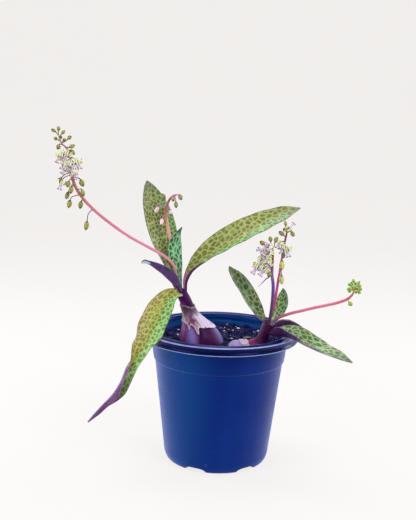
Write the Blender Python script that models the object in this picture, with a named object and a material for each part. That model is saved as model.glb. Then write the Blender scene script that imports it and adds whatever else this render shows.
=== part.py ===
# Potted ledebouria: two offset bulbs in a blue nursery pot, with mottled leaves
# and five flower stalks.
#
# Frame: metres, +Z up.  The origin is the centre of the pot's underside, which
# stands on the plane z = 0.  -Y is the front.  The tables below are in
# millimetres and are turned into metres by MM.

import math

import bmesh
import bpy
import numpy as np

MM = 0.001

# ---- driving dimensions (mm) ---------------------------------------------
POT_HEIGHT = 87.4        # underside to the top of the lip
LIP_RADIUS = 52.0        # outside of the rolled lip
LIP_INNER_RADIUS = 44.2  # mouth
LIP_DEPTH = 5.1          # height of the rolled lip's outer face
COLLAR_Z = 68.2          # step between the body and the collar under the lip
COLLAR_RADIUS = 43.3
BODY_TOP_RADIUS = 42.4
FOOT_RADIUS = 35.3       # body radius at 8 mm above the ground
WALL = 1.15              # pot wall
FLOOR = 1.2              # pot floor
SIDES = 48               # facets round the pot
FOOT_NOTCHES = 6         # drain notches round the foot
NOTCH_HEIGHT = 3.0
NOTCH_SPAN = 27.0        # degrees
NOTCH_FIRST = -114.0     # bearing of the first notch, degrees from +X
SOIL_LEVEL = 80.6        # potting mix surface
GAP = 0.3                # clearance between touching pieces
LEAF_THICKNESS = 1.15    # at the midrib
TUNIC_THICKNESS = 0.45

# ---- clear the file -------------------------------------------------------
for old in list(bpy.data.objects):
    bpy.data.objects.remove(old, do_unlink=True)


# ---- small helpers --------------------------------------------------------
def finish(name, colour, roughness, metallic=0.0):
    mat = bpy.data.materials.new(name)
    mat.use_nodes = True
    bsdf = mat.node_tree.nodes["Principled BSDF"]
    bsdf.inputs["Base Color"].default_value = (*colour, 1.0)
    bsdf.inputs["Roughness"].default_value = roughness
    bsdf.inputs["Metallic"].default_value = metallic
    return mat


def add_object(name, verts, faces, mat=None, sharp=40.0):
    """Object from points in mm and faces; faces are turned to point outward."""
    mesh = bpy.data.meshes.new(name)
    bm = bmesh.new()
    made = [bm.verts.new([c * MM for c in v]) for v in verts]
    for f in faces:
        bm.faces.new([made[i] for i in f])
    bmesh.ops.recalc_face_normals(bm, faces=bm.faces)
    bm.to_mesh(mesh)
    bm.free()
    mesh.shade_smooth()
    mesh.set_sharp_from_angle(angle=math.radians(sharp))
    obj = bpy.data.objects.new(name, mesh)
    bpy.context.collection.objects.link(obj)
    if mat is not None:
        mesh.materials.append(mat)
    return obj


def hide_as_cutter(obj):
    obj.hide_render = True
    obj.display_type = 'WIRE'


def boolean(target, tool, operation):
    mod = target.modifiers.new(operation.lower() + "_" + tool.name, 'BOOLEAN')
    mod.operation = operation
    mod.object = tool
    hide_as_cutter(tool)
    return mod


def smooth_rows(rows, count):
    """Even stations on a smooth curve through rows; the first three columns
    are the position, and the other columns follow along."""
    p = np.array(rows, float)
    d = np.concatenate([[0.0], np.cumsum(np.linalg.norm(np.diff(p[:, :3], axis=0), axis=1))])
    m = np.gradient(p, d, axis=0)
    t = np.linspace(0.0, d[-1], count)
    k = np.clip(np.searchsorted(d, t, side='right') - 1, 0, len(d) - 2)
    h = (d[k + 1] - d[k])[:, None]
    u = (t - d[k])[:, None] / h
    out = ((2 * u**3 - 3 * u**2 + 1) * p[k] + (u**3 - 2 * u**2 + u) * h * m[k]
           + (-2 * u**3 + 3 * u**2) * p[k + 1] + (u**3 - u**2) * h * m[k + 1])
    return out


def tangents(points):
    t = np.gradient(points, axis=0)
    return t / np.linalg.norm(t, axis=1)[:, None]


def loft(rings):
    """Closed skin over a list of equal rings, with flat ends."""
    n = len(rings[0])
    verts = [tuple(v) for ring in rings for v in ring]
    faces = []
    for i in range(len(rings) - 1):
        for j in range(n):
            k = (j + 1) % n
            faces.append((i * n + j, i * n + k, (i + 1) * n + k, (i + 1) * n + j))
    faces.append(tuple(range(n)))
    faces.append(tuple((len(rings) - 1) * n + j for j in range(n)))
    return verts, faces


def lathe(profile, sides):
    """Solid of revolution; the profile starts and ends on the axis."""
    verts = [(0.0, 0.0, profile[0][1])]
    faces = []
    body = profile[1:-1]
    for r, z in body:
        for j in range(sides):
            a = 2 * math.pi * j / sides
            verts.append((r * math.cos(a), r * math.sin(a), z))
    verts.append((0.0, 0.0, profile[-1][1]))
    for j in range(sides):
        k = (j + 1) % sides
        faces.append((0, 1 + k, 1 + j))
        for i in range(len(body) - 1):
            a, b = 1 + i * sides, 1 + (i + 1) * sides
            faces.append((a + j, a + k, b + k, b + j))
        last = 1 + (len(body) - 1) * sides
        faces.append((last + j, last + k, len(verts) - 1))
    return verts, faces


def tube_rings(rows, sides, count, grow=0.0, start_angle=0.0):
    """Rings square to a smooth route (x, y, z, radius)."""
    s = smooth_rows(rows, count)
    t = tangents(s[:, :3])
    u = np.cross(t[0], (0.0, 1.0, 0.0))
    u /= np.linalg.norm(u)
    rings = []
    for i in range(count):
        u = u - t[i] * (u @ t[i])
        u /= np.linalg.norm(u)
        v = np.cross(t[i], u)
        r = s[i, 3] + grow
        ring = []
        for j in range(sides):
            a = start_angle + 2 * math.pi * j / sides
            ring.append(s[i, :3] + r * (math.cos(a) * u + math.sin(a) * v))
        rings.append(ring)
    return rings


# ---- pot ------------------------------------------------------------------
def body_radius(z):
    """Outside of the tapering body between the foot and the collar."""
    return FOOT_RADIUS + (BODY_TOP_RADIUS - FOOT_RADIUS) * (z - 8.0) / (COLLAR_Z - 9.0)


def make_pot():
    h, lip = POT_HEIGHT, LIP_RADIUS
    outside = [
        (0.0, 0.0), (31.0, 0.0), (32.6, 0.35), (33.8, 1.5), (34.7, 3.8),
        (body_radius(8.0), 8.0), (body_radius(38.0), 38.0), (BODY_TOP_RADIUS, COLLAR_Z - 1.0),
        (COLLAR_RADIUS - 0.2, COLLAR_Z), (COLLAR_RADIUS + 0.1, COLLAR_Z + 1.3),
        (44.1, 73.5), (44.7, h - LIP_DEPTH - 1.6), (45.6, h - LIP_DEPTH - 0.2),
        (lip - 1.4, h - LIP_DEPTH), (lip - 0.4, h - LIP_DEPTH + 0.4),
        (lip, h - LIP_DEPTH + 1.4), (lip, h - 1.7), (lip - 0.5, h - 0.5), (lip - 1.6, h),
    ]
    top = [
        (lip - 2.6, h - 0.1), (lip - 3.7, h - 0.7), (LIP_INNER_RADIUS + 2.6, h - 0.7),
        (LIP_INNER_RADIUS + 1.5, h - 0.05), (LIP_INNER_RADIUS + 0.8, h),
        (LIP_INNER_RADIUS + 0.1, h - 0.5), (LIP_INNER_RADIUS - 0.3, h - 1.8),
    ]
    inside = [
        (44.7 - WALL, h - LIP_DEPTH - 1.6), (44.1 - WALL, 73.5),
        (COLLAR_RADIUS - WALL, COLLAR_Z + 1.0), (BODY_TOP_RADIUS - WALL, COLLAR_Z - 0.8),
        (body_radius(38.0) - WALL, 38.0), (body_radius(8.0) - WALL, 8.0),
        (33.0, 3.2), (31.4, FLOOR), (0.0, FLOOR),
    ]
    verts, faces = lathe(outside + top + inside, SIDES)
    pot = add_object("pot", verts, faces, finish("pot_plastic", (0.012, 0.055, 0.22), 0.32))

    # one cutter holds the six foot notches, which open the corner of the foot
    verts, faces = [], []
    half = math.radians(NOTCH_SPAN / 2)
    for k in range(FOOT_NOTCHES):
        mid = math.radians(NOTCH_FIRST + 360.0 / FOOT_NOTCHES * k)
        section = [(25.5, -2.0), (37.5, -2.0), (37.5, NOTCH_HEIGHT), (28.5, NOTCH_HEIGHT), (25.5, 0.8)]
        rings = []
        for s in np.linspace(-1.0, 1.0, 6):
            # the notch is rounded off towards its two ends
            low = NOTCH_HEIGHT * (1.0 - 0.55 * abs(s)**3)
            a = mid + half * s
            rings.append([(r * math.cos(a), r * math.sin(a), z if z < 1.0 else low) for r, z in section])
        v, f = loft(rings)
        faces += [tuple(i + len(verts) for i in q) for q in f]
        verts += v
    notches = add_object("foot_notches", verts, faces)
    boolean(pot, notches, 'DIFFERENCE')
    return pot


# ---- bulbs ----------------------------------------------------------------
# The big bulb is a stack of round sections that leans left as it narrows to
# its neck: x, y, z, radius.
BULB_1 = [
    (-10.5, -10.0, 65.0, 4.0), (-10.6, -10.0, 66.4, 7.6), (-10.9, -10.0, 69.5, 11.2),
    (-11.3, -10.0, 74.0, 13.7), (-11.6, -10.0, 79.0, 14.5), (-12.1, -10.0, 83.5, 13.8),
    (-13.3, -10.0, 88.5, 11.8), (-14.9, -10.0, 92.2, 9.7), (-17.0, -10.0, 95.8, 7.0),
    (-19.0, -10.0, 98.9, 5.2), (-20.6, -10.0, 101.8, 4.4), (-22.3, -10.0, 106.0, 4.15),
    (-24.1, -10.0, 109.8, 4.2), (-25.7, -10.0, 113.2, 3.7),
]
NECK_1_TOP = BULB_1[-1]

# The small bulb lies on its side; its neck turns up to the right.
BULB_2 = [
    (4.8, -17.0, 72.6, 2.4), (6.4, -16.8, 73.4, 5.2), (11.0, -16.3, 75.2, 8.2),
    (16.0, -15.7, 77.2, 7.0), (20.6, -15.0, 79.4, 5.0), (24.6, -14.1, 81.6, 4.0),
    (27.2, -13.3, 83.8, 3.6), (28.3, -12.9, 87.0, 3.6), (29.7, -12.6, 91.0, 3.45),
    (30.8, -12.4, 94.5, 3.3),
]


def bulb_1_point(z, a, grow=0.0):
    p = np.array(BULB_1)
    x, y, r = (np.interp(z, p[:, 2], p[:, c]) for c in (0, 1, 3))
    return (x + (r + grow) * math.cos(a), y + (r + grow) * math.sin(a), z)


def make_bulb_1(name, mat, grow=0.0, sides=24):
    rings = []
    for x, y, z, r in BULB_1:
        dz = -grow if z == BULB_1[0][2] else 0.0
        rings.append([(x + (r + grow) * math.cos(2 * math.pi * j / sides),
                       y + (r + grow) * math.sin(2 * math.pi * j / sides), z + dz)
                      for j in range(sides)])
    return add_object(name, *loft(rings), mat)


def make_bulb_2(name, mat, grow=0.0, sides=20):
    rings = tube_rings(BULB_2, sides, 20, grow)
    if grow:
        first = np.mean(rings[0], axis=0)
        away = first - np.mean(rings[1], axis=0)
        rings[0] = [p + away / np.linalg.norm(away) * grow for p in rings[0]]
    # the neck is cut off level
    rings[-1] = [(p[0], p[1], BULB_2[-1][2] + grow) for p in rings[-1]]
    return add_object(name, *loft(rings), mat)


def make_tunic_1(mat, sides=24, rows=6):
    """Dry papery scale: a loose sleeve round the neck and the bulb's shoulder,
    torn off higher on the left than on the right."""
    def low(a):
        return 91.0 - 2.6 * math.cos(a) + 0.7 * math.sin(5 * a) + 0.5 * math.cos(9 * a)

    def high(a):
        return 104.4 + 0.7 * math.sin(3 * a + 1.0) + 0.5 * math.sin(7 * a)

    rings = []
    inner, outer = GAP + 0.3, GAP + 0.3 + TUNIC_THICKNESS
    for grow, order in ((outer, range(rows)), (inner, range(rows - 1, -1, -1))):
        for i in order:
            ring = []
            for j in range(sides):
                a = 2 * math.pi * j / sides
                z = low(a) + (high(a) - low(a)) * i / (rows - 1)
                ring.append(bulb_1_point(z, a, grow))
            rings.append(ring)
    n = sides
    verts = [v for ring in rings for v in ring]
    faces = []
    for i in range(len(rings)):
        a, b = i * n, ((i + 1) % len(rings)) * n
        for j in range(n):
            k = (j + 1) % n
            faces.append((a + j, a + k, b + k, b + j))
    return add_object("bulb_1_tunic", verts, faces, mat)


def make_tunic_2(mat, sides=24, reach=3):
    """Dry papery scale saddled over the small bulb's shoulder, above the mix."""
    inner, outer = GAP + 0.2, GAP + 0.2 + TUNIC_THICKNESS
    first, last = 12, 17
    out = tube_rings(BULB_2, sides, 38, outer)
    inn = tube_rings(BULB_2, sides, 38, inner)
    order = list(range(-reach, reach + 1))
    rings = []
    for i in range(first, last + 1):
        rings.append([out[i][j % sides] for j in order] + [inn[i][j % sides] for j in reversed(order)])
    return add_object("bulb_2_tunic", *loft(rings), mat)


# ---- potting mix ----------------------------------------------------------
def make_soil():
    gap = GAP + 0.05
    wall = WALL + gap
    top = SOIL_LEVEL
    profile = [
        (0.0, FLOOR + gap), (30.9, FLOOR + gap), (32.5, 3.7),
        (body_radius(8.0) - wall, 8.0), (body_radius(38.0) - wall, 38.0),
        (BODY_TOP_RADIUS - wall, COLLAR_Z - 1.2), (COLLAR_RADIUS - wall, COLLAR_Z + 1.4),
        (44.1 - wall, 73.9), (44.45 - wall, top - 1.0), (43.6 - wall, top),
        (35.0, top), (26.0, top), (17.0, top), (8.0, top), (0.0, top),
    ]
    verts, faces = lathe(profile, 36)
    uneven = []
    for x, y, z in verts:
        if z >= top:
            # shallow heaps in the surface
            z += 0.45 * math.sin(x * 0.23 + 0.8) * math.cos(y * 0.19 - 0.4) + 0.25 * math.sin(x * 0.41 - y * 0.37)
        uneven.append((x, y, z))
    soil = add_object("potting_mix", uneven, faces, finish("potting_mix", (0.02, 0.016, 0.014), 0.95))
    boolean(soil, make_bulb_1("pit_1", None, GAP + 0.15), 'DIFFERENCE')
    boolean(soil, make_bulb_2("pit_2", None, GAP + 0.1), 'DIFFERENCE')
    return soil


# ---- leaves ---------------------------------------------------------------
# Each row is a station from base to tip: midrib x, y, z; half width; the
# direction across the blade (towards its left margin, seen from the upper
# side with the tip up); and how far each half is folded up, in degrees.
LEAVES = {
    "leaf_drooping": [
        (-25.9, -15.9, 112.1, 1.8, 0.10, -0.25, -0.96, 0),
        (-30.0, -17.2, 112.7, 4.5, 0.28, -0.55, -0.79, -4),
        (-34.8, -19.2, 110.8, 7.6, 0.62, -0.64, -0.45, -7),
        (-38.3, -22.2, 106.4, 8.9, 0.84, -0.50, -0.20, -9),
        (-43.2, -29.5, 96.0, 9.5, 0.91, -0.38, -0.15, -10),
        (-45.2, -33.2, 90.1, 9.2, 0.88, -0.47, -0.12, -6),
        (-48.5, -36.6, 83.8, 7.8, 0.88, -0.40, -0.14, 8),
        (-52.1, -39.4, 77.2, 6.9, 0.78, 0.22, -0.50, 40),
        (-56.0, -42.0, 70.8, 6.2, 0.50, 0.68, -0.53, 54),
        (-59.1, -44.6, 63.9, 5.8, 0.36, 0.81, -0.46, 58),
        (-62.4, -46.6, 57.7, 5.4, 0.28, 0.86, -0.44, 62),
        (-65.1, -47.7, 54.0, 4.0, 0.25, 0.85, -0.46, 74),
        (-68.2, -48.6, 50.9, 2.8, 0.23, 0.84, -0.48, 78),
        (-73.4, -50.4, 45.5, 2.2, 0.25, 0.85, -0.46, 74),
        (-78.9, -51.6, 39.0, 0.45, 0.28, 0.86, -0.41, 40),
    ],
    "leaf_upright": [
        (-28.3, -7.6, 113.9, 1.2, -0.88, -0.46, 0.0, 10),
        (-29.6, -6.5, 122.1, 2.3, -0.88, -0.44, -0.2, 10),
        (-33.5, -5.8, 131.7, 5.4, -0.84, -0.50, -0.2, 10),
        (-36.4, -4.5, 140.6, 8.2, -0.86, -0.46, -0.2, 12),
        (-39.0, -3.1, 149.5, 9.4, -0.90, -0.36, -0.25, 10),
        (-41.8, -1.6, 159.0, 9.3, -0.91, -0.30, -0.28, 8),
        (-45.1, 0.0, 168.2, 8.0, -0.90, -0.34, -0.25, 8),
        (-47.7, 1.6, 175.7, 5.5, -0.90, -0.36, -0.23, 6),
        (-49.6, 2.8, 180.6, 2.8, -0.88, -0.42, -0.18, 4),
        (-50.5, 3.5, 183.3, 0.45, -0.88, -0.42, -0.18, 0),
    ],
    "leaf_folded": [
        (-26.2, -9.8, 113.8, 1.1, -0.99, 0.0, -0.05, 15),
        (-27.6, -10.0, 122.9, 2.2, -0.99, 0.0, -0.12, 30),
        (-29.1, -10.0, 130.6, 4.2, -0.99, 0.02, -0.15, 35),
        (-30.3, -10.1, 137.7, 5.4, -1.00, 0.05, -0.08, 36),
        (-30.5, -10.4, 143.9, 5.2, -1.00, 0.0, 0.07, 38),
        (-29.5, -10.9, 148.9, 3.4, -0.96, -0.05, 0.25, 42),
        (-28.1, -11.6, 152.6, 1.6, -0.92, -0.08, 0.36, 42),
        (-26.5, -12.4, 155.2, 0.45, -0.88, 0.0, 0.45, 40),
    ],
    "leaf_curled": [
        (-26.7, -14.0, 114.8, 1.0, 0.30, -0.95, 0.10, 82),
        (-29.3, -15.4, 118.1, 3.6, 0.28, -0.95, 0.12, 85),
        (-34.0, -16.8, 123.1, 5.2, 0.28, -0.95, 0.10, 82),
        (-38.5, -17.2, 127.1, 4.6, 0.28, -0.95, 0.08, 72),
        (-43.0, -18.2, 130.4, 3.2, 0.26, -0.96, 0.08, 70),
        (-46.7, -18.9, 132.5, 1.8, 0.20, -0.97, 0.06, 66),
        (-50.8, -19.3, 133.5, 0.45, 0.15, -0.98, 0.06, 60),
    ],
    "leaf_young": [
        (-29.1, -9.9, 113.8, 0.8, -0.80, -0.60, 0.0, 25),
        (-31.2, -11.4, 119.2, 1.3, -0.83, -0.48, -0.20, 30),
        (-33.0, -12.5, 124.6, 1.4, -0.85, -0.35, -0.30, 30),
        (-34.6, -12.9, 129.6, 1.2, -0.85, -0.25, -0.45, 26),
        (-35.9, -13.0, 132.2, 0.8, -0.80, -0.25, -0.50, 22),
        (-36.9, -13.0, 134.2, 0.40, -0.80, -0.25, -0.50, 15),
    ],
    "leaf_broad": [
        (-23.3, -10.9, 113.8, 1.2, -1.00, 0.0, 0.0, 15),
        (-23.3, -10.3, 120.8, 1.7, -0.97, -0.05, 0.16, 22),
        (-21.0, -9.8, 127.0, 3.0, -0.82, 0.12, 0.54, 40),
        (-16.3, -8.9, 132.4, 5.6, -0.66, 0.38, 0.66, 46),
        (-8.6, -7.7, 138.3, 7.9, -0.53, 0.58, 0.60, 36),
        (1.3, -6.2, 145.2, 9.0, -0.49, 0.62, 0.61, 29),
        (11.8, -4.6, 151.6, 9.2, -0.46, 0.66, 0.60, 23),
        (22.6, -2.8, 157.3, 8.7, -0.43, 0.70, 0.58, 18),
        (31.9, -1.0, 162.1, 7.4, -0.41, 0.72, 0.56, 11),
        (40.0, 0.8, 165.8, 5.4, -0.39, 0.72, 0.57, 5),
        (45.6, 2.0, 167.7, 2.9, -0.36, 0.73, 0.57, 2),
        (49.8, 3.0, 168.7, 0.45, -0.35, 0.73, 0.58, 0),
    ],
    "leaf_left": [
        (28.7, -12.5, 95.7, 1.4, -0.80, -0.58, -0.05, 20),
        (27.2, -11.5, 96.9, 2.9, -0.79, -0.60, -0.12, 28),
        (25.1, -10.4, 98.6, 4.3, -0.78, -0.60, -0.18, 34),
        (21.4, -8.7, 103.4, 6.0, -0.75, -0.60, -0.27, 38),
        (17.3, -6.7, 109.5, 6.8, -0.74, -0.61, -0.28, 38),
        (13.0, -4.3, 115.8, 6.8, -0.74, -0.62, -0.26, 37),
        (9.0, -1.9, 121.5, 5.7, -0.75, -0.62, -0.23, 36),
        (6.2, 0.0, 125.9, 3.3, -0.78, -0.60, -0.18, 30),
        (4.9, 1.3, 129.1, 0.45, -0.76, -0.64, -0.05, 10),
    ],
    "leaf_inner": [
        (32.0, -10.1, 95.8, 1.1, -0.97, 0.0, 0.1, 14),
        (33.2, -8.6, 96.8, 2.3, -0.94, -0.10, 0.26, 18),
        (35.1, -7.1, 98.9, 4.1, -0.88, -0.22, 0.40, 20),
        (37.4, -6.4, 103.8, 5.2, -0.88, -0.26, 0.36, 24),
        (39.4, -5.9, 109.3, 4.9, -0.94, -0.12, 0.28, 38),
        (40.3, -5.6, 113.8, 2.7, -0.97, 0.0, 0.12, 34),
        (40.3, -5.4, 116.7, 0.45, -0.99, 0.0, 0.0, 30),
    ],
    "leaf_arching": [
        (32.4, -16.0, 88.4, 1.6, 0.55, 0.72, -0.35, 44),
        (34.4, -17.5, 88.5, 3.9, 0.58, 0.76, -0.20, 60),
        (38.2, -20.2, 89.1, 6.1, 0.60, 0.79, -0.02, 62),
        (43.2, -23.9, 89.4, 7.7, 0.62, 0.75, 0.14, 54),
        (48.8, -28.4, 88.2, 8.7, 0.61, 0.74, 0.22, 46),
        (55.2, -33.0, 86.0, 8.8, 0.58, 0.80, 0.12, 33),
        (61.8, -37.5, 84.3, 8.0, 0.55, 0.83, 0.08, 25),
        (68.6, -41.8, 83.0, 6.2, 0.53, 0.83, 0.12, 21),
        (74.8, -45.5, 81.8, 3.7, 0.53, 0.83, 0.16, 18),
        (79.8, -48.3, 80.6, 0.45, 0.52, 0.82, 0.20, 10),
    ],
    "leaf_short": [
        (34.5, -13.3, 91.6, 2.0, 0.16, 0.98, -0.05, 70),
        (36.4, -13.4, 92.1, 3.9, 0.10, 0.99, -0.03, 73),
        (39.3, -13.4, 92.8, 4.8, 0.06, 0.99, 0.0, 78),
        (44.1, -13.3, 93.7, 4.2, 0.02, 0.99, 0.06, 76),
        (48.6, -13.1, 93.6, 2.4, 0.03, 0.97, 0.12, 74),
        (53.2, -13.0, 92.6, 0.45, 0.05, 0.96, 0.14, 60),
    ],
}


def make_leaf(name, rows, mat, count):
    """Lens-sectioned blade: five points on the upper face and five below."""
    s = smooth_rows(rows, count)
    t = tangents(s[:, :3])
    rings = []
    for i in range(count):
        p, half, fold = s[i, :3], max(s[i, 3], 0.4), math.radians(s[i, 7])
        across = s[i, 4:7] - t[i] * (s[i, 4:7] @ t[i])
        across /= np.linalg.norm(across)
        up = np.cross(t[i], across)
        thick = LEAF_THICKNESS * min(1.0, 0.45 + half / 6.0)
        upper, lower = [], []
        for w in (-1.0, -0.5, 0.0, 0.5, 1.0):
            side = 0.0 if w == 0.0 else math.copysign(1.0, w)
            point = p + half * (w * math.cos(fold) * across + abs(w) * math.sin(fold) * up)
            # the blade's own normal here, and its thickness towards the margin
            normal = math.cos(fold * abs(side)) * up - side * math.sin(fold) * across
            upper.append(point)
            lower.append(point - normal * thick * (1.0 - 0.6 * w * w))
        rings.append(upper + lower[::-1])
    return add_object(name, *loft(rings), mat)


# ---- flower stalks --------------------------------------------------------
# route: x, y, z, radius from the base up.
# flowers: place along the stalk (0 to 1), offset of the bud or flower from
# there (x, y, z), its radius and its length.
STALKS = {
    "flower_stalk_1": dict(
        route=[(-28.3, -11.8, 114.2, 0.7), (-28.7, -12.2, 121.0, 0.8), (-29.6, -12.9, 126.8, 0.95),
               (-31.4, -14.0, 131.7, 1.05), (-36.5, -15.2, 136.5, 1.05), (-46.5, -15.7, 142.0, 1.05),
               (-59.0, -15.9, 148.5, 1.05),
               (-71.0, -16.5, 156.5, 1.1), (-81.0, -17.5, 164.5, 1.1), (-88.0, -18.0, 171.5, 1.15),
               (-92.5, -18.5, 178.0, 1.15), (-95.0, -19.0, 184.5, 1.1), (-96.5, -19.0, 192.0, 0.9),
               (-96.5, -19.0, 198.5, 0.75), (-98.5, -19.0, 202.5, 0.6), (-102.0, -19.0, 206.0, 0.5),
               (-103.5, -19.0, 210.0, 0.45), (-104.0, -19.0, 213.5, 0.4)],
        flowers=[(0.98, -3.0, -1.0, 2.5, 1.1, 2.6), (0.99, 0.0, 1.0, 2.5, 1.1, 2.4),
                 (0.97, 2.5, 1.0, 3.0, 1.1, 2.4), (0.96, 1.0, -2.5, 1.0, 1.2, 2.6),
                 (0.95, -3.5, 2.0, 1.5, 1.1, 2.4), (0.94, 5.0, 0.0, 3.5, 1.2, 2.6),
                 (0.94, 1.5, 2.5, 2.0, 1.1, 2.4), (0.93, -2.5, -1.5, -1.5, 1.4, 2.8),
                 (0.91, 3.5, 1.0, 1.0, 1.3, 3.2), (0.89, 2.5, 0.5, -0.5, 1.3, 3.2),
                 (0.89, -6.0, -1.0, -5.0, 1.5, 3.0), (0.88, -3.5, -3.0, -2.5, 1.6, 3.0),
                 (0.87, -2.0, -3.5, -0.5, 1.6, 3.0), (0.86, 5.0, 0.5, -4.5, 1.7, 3.2),
                 (0.85, -4.0, -2.0, -3.5, 1.7, 3.2), (0.83, -0.5, -3.5, -2.0, 1.7, 3.2),
                 (0.84, 3.0, -2.5, -1.5, 1.6, 3.2), (0.81, -3.5, -2.0, -1.5, 1.6, 3.0),
                 (0.79, 3.0, -1.5, -1.5, 1.5, 3.0), (0.79, -7.5, 0.5, -5.0, 1.5, 3.8),
                 (0.77, 6.0, 0.5, -3.5, 1.6, 4.0), (0.78, -6.5, -1.5, -6.5, 1.5, 3.4),
                 (0.76, -2.5, -2.0, -3.0, 1.4, 3.4), (0.74, -1.5, -2.5, -4.0, 1.4, 4.0),
                 (0.73, -5.0, 0.5, -6.5, 1.4, 4.2), (0.68, -7.0, 0.5, -6.0, 1.6, 4.4),
                 (0.65, -2.0, -2.0, -3.0, 1.4, 4.2), (0.59, -4.5, 0.5, -10.5, 1.6, 4.8),
                 (0.71, 4.0, -1.5, -2.0, 1.3, 3.6)]),
    "flower_stalk_2": dict(
        route=[(-26.0, -7.5, 113.9, 0.7), (-27.2, -7.7, 122.0, 0.8), (-29.6, -7.7, 131.0, 0.9),
               (-31.5, -8.1, 138.5, 0.95), (-34.0, -8.4, 147.5, 1.0), (-36.0, -8.8, 156.5, 1.0),
               (-37.0, -9.0, 164.5, 0.9), (-36.0, -9.0, 170.0, 0.8), (-33.5, -9.0, 174.0, 0.65),
               (-31.0, -9.0, 175.5, 0.5), (-29.5, -9.0, 175.5, 0.4)],
        flowers=[(0.86, -3.0, 0.5, 4.5, 1.5, 3.4), (1.00, 1.5, -0.5, -1.5, 1.4, 3.2),
                 (0.95, 2.0, -1.5, -5.5, 1.3, 3.4), (0.84, 3.0, -1.5, -4.0, 1.6, 3.4),
                 (0.81, -6.0, 0.0, -1.0, 1.3, 4.6), (0.75, -2.5, -1.5, -4.5, 1.3, 4.4),
                 (0.92, 1.5, -2.0, -0.5, 1.2, 2.8)]),
    "flower_stalk_3": dict(
        route=[(31.3, -14.6, 95.5, 0.85), (31.9, -14.6, 99.5, 1.05), (32.5, -14.2, 104.5, 1.1),
               (33.0, -13.6, 112.5, 1.1), (33.0, -13.2, 119.5, 1.1), (32.0, -13.0, 126.5, 0.95),
               (32.0, -12.5, 133.5, 0.8), (32.0, -12.5, 140.0, 0.6), (31.5, -12.5, 144.5, 0.4)],
        flowers=[(0.73, -11.0, -1.0, -1.5, 1.8, 4.0), (0.71, -6.5, -3.5, -1.5, 1.8, 3.6),
                 (0.78, -8.0, -1.0, 0.0, 1.6, 3.6), (0.82, -5.5, -1.5, 2.5, 1.6, 3.4),
                 (0.89, -8.0, -1.0, 3.0, 1.5, 3.2), (0.96, -7.0, -0.5, 4.5, 1.5, 3.0),
                 (0.96, -4.0, -2.5, 3.0, 1.5, 3.0), (1.00, -1.5, 1.0, 5.0, 1.3, 2.8),
                 (0.98, 2.0, -0.5, 6.0, 1.4, 3.0), (0.90, -4.0, -3.5, 2.0, 1.6, 3.2),
                 (0.69, -2.0, -3.0, -2.0, 1.4, 3.2), (0.79, -3.5, -4.0, -1.0, 1.5, 3.2)]),
    "flower_stalk_4": dict(
        route=[(31.5, -12.0, 95.5, 0.65), (32.2, -11.8, 98.5, 0.8), (34.0, -11.3, 104.5, 0.85),
               (35.5, -10.2, 115.0, 0.9), (36.5, -10.0, 124.0, 0.85),
               (37.5, -9.5, 132.0, 0.8),
               (38.5, -9.0, 140.0, 0.75), (39.5, -8.5, 147.5, 0.7), (40.5, -8.0, 153.5, 0.55),
               (40.5, -7.5, 156.0, 0.4)],
        flowers=[(0.58, 1.0, -2.5, -7.0, 1.6, 5.0), (0.75, -0.5, -3.0, -8.0, 1.9, 5.0),
                 (0.82, 2.5, -1.0, -4.5, 1.7, 3.4), (0.82, -1.5, -2.5, -2.5, 1.5, 3.2),
                 (0.79, 0.0, -0.5, -4.5, 1.4, 3.0), (0.86, -4.0, -1.5, -2.0, 1.4, 3.0),
                 (0.91, -3.0, -0.5, 2.5, 1.4, 3.6), (0.99, 3.0, 0.5, 2.5, 1.3, 3.0),
                 (0.96, 4.0, 0.5, -1.0, 1.4, 3.0), (1.00, -1.0, 0.5, 3.5, 1.1, 2.4),
                 (0.97, -1.5, -2.0, 1.5, 1.2, 2.6)]),
    "flower_stalk_5": dict(
        route=[(33.2, -13.0, 95.7, 0.65), (35.2, -11.7, 97.1, 0.8), (38.4, -10.4, 98.6, 0.95),
               (45.5, -9.5, 101.2, 1.0), (52.5, -9.0, 103.0, 1.0), (60.5, -8.0, 105.0, 1.0),
               (69.5, -7.0, 107.0, 1.0), (77.5, -6.0, 109.0, 1.0), (82.0, -6.0, 111.0, 0.9),
               (85.0, -5.5, 113.5, 0.75), (86.5, -5.5, 117.0, 0.6), (87.0, -5.5, 119.5, 0.45)],
        flowers=[(0.84, 2.0, -1.5, -3.0, 1.5, 3.2)]),
}
CLUSTER_BUDS = 15        # tight bunch of young buds at the end of stalk 5
CLUSTER_RADIUS = 4.0


def cluster_flowers():
    """Buds spread evenly round the tip of stalk 5, the upper ones smaller."""
    rows = []
    for k in range(CLUSTER_BUDS):
        h = -0.55 + 1.5 * (k + 0.5) / CLUSTER_BUDS
        a = math.radians(137.5) * k
        ring = math.sqrt(max(0.0, 1.0 - h * h))
        reach = CLUSTER_RADIUS
        size = 1.25 - 0.3 * max(h, 0.0)
        rows.append((0.955 + 0.03 * (k / CLUSTER_BUDS), reach * ring * math.cos(a), reach * ring * math.sin(a),
                     reach * h + 0.8, size, 2.4))
    return rows


def bud_rings(start, centre, radius, length, sides=5):
    """A short flower stem that swells into a closed bud."""
    start, centre = np.array(start), np.array(centre)
    axis = centre - start
    reach = np.linalg.norm(axis)
    axis /= reach
    u = np.cross(axis, (0.0, 0.0, 1.0) if abs(axis[2]) < 0.9 else (1.0, 0.0, 0.0))
    u /= np.linalg.norm(u)
    v = np.cross(axis, u)
    stem = 0.38
    half = length / 2
    neck = max(reach - half, 0.35 * reach)
    stations = [(0.0, stem), (neck, stem), (neck + 0.55 * (reach - neck), 0.85 * radius),
                (reach + 0.25 * half, radius), (reach + half, 0.3 * radius)]
    rings = []
    for d, r in stations:
        rings.append([start + axis * d + r * (math.cos(2 * math.pi * j / sides) * u
                                              + math.sin(2 * math.pi * j / sides) * v) for j in range(sides)])
    return rings


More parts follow.
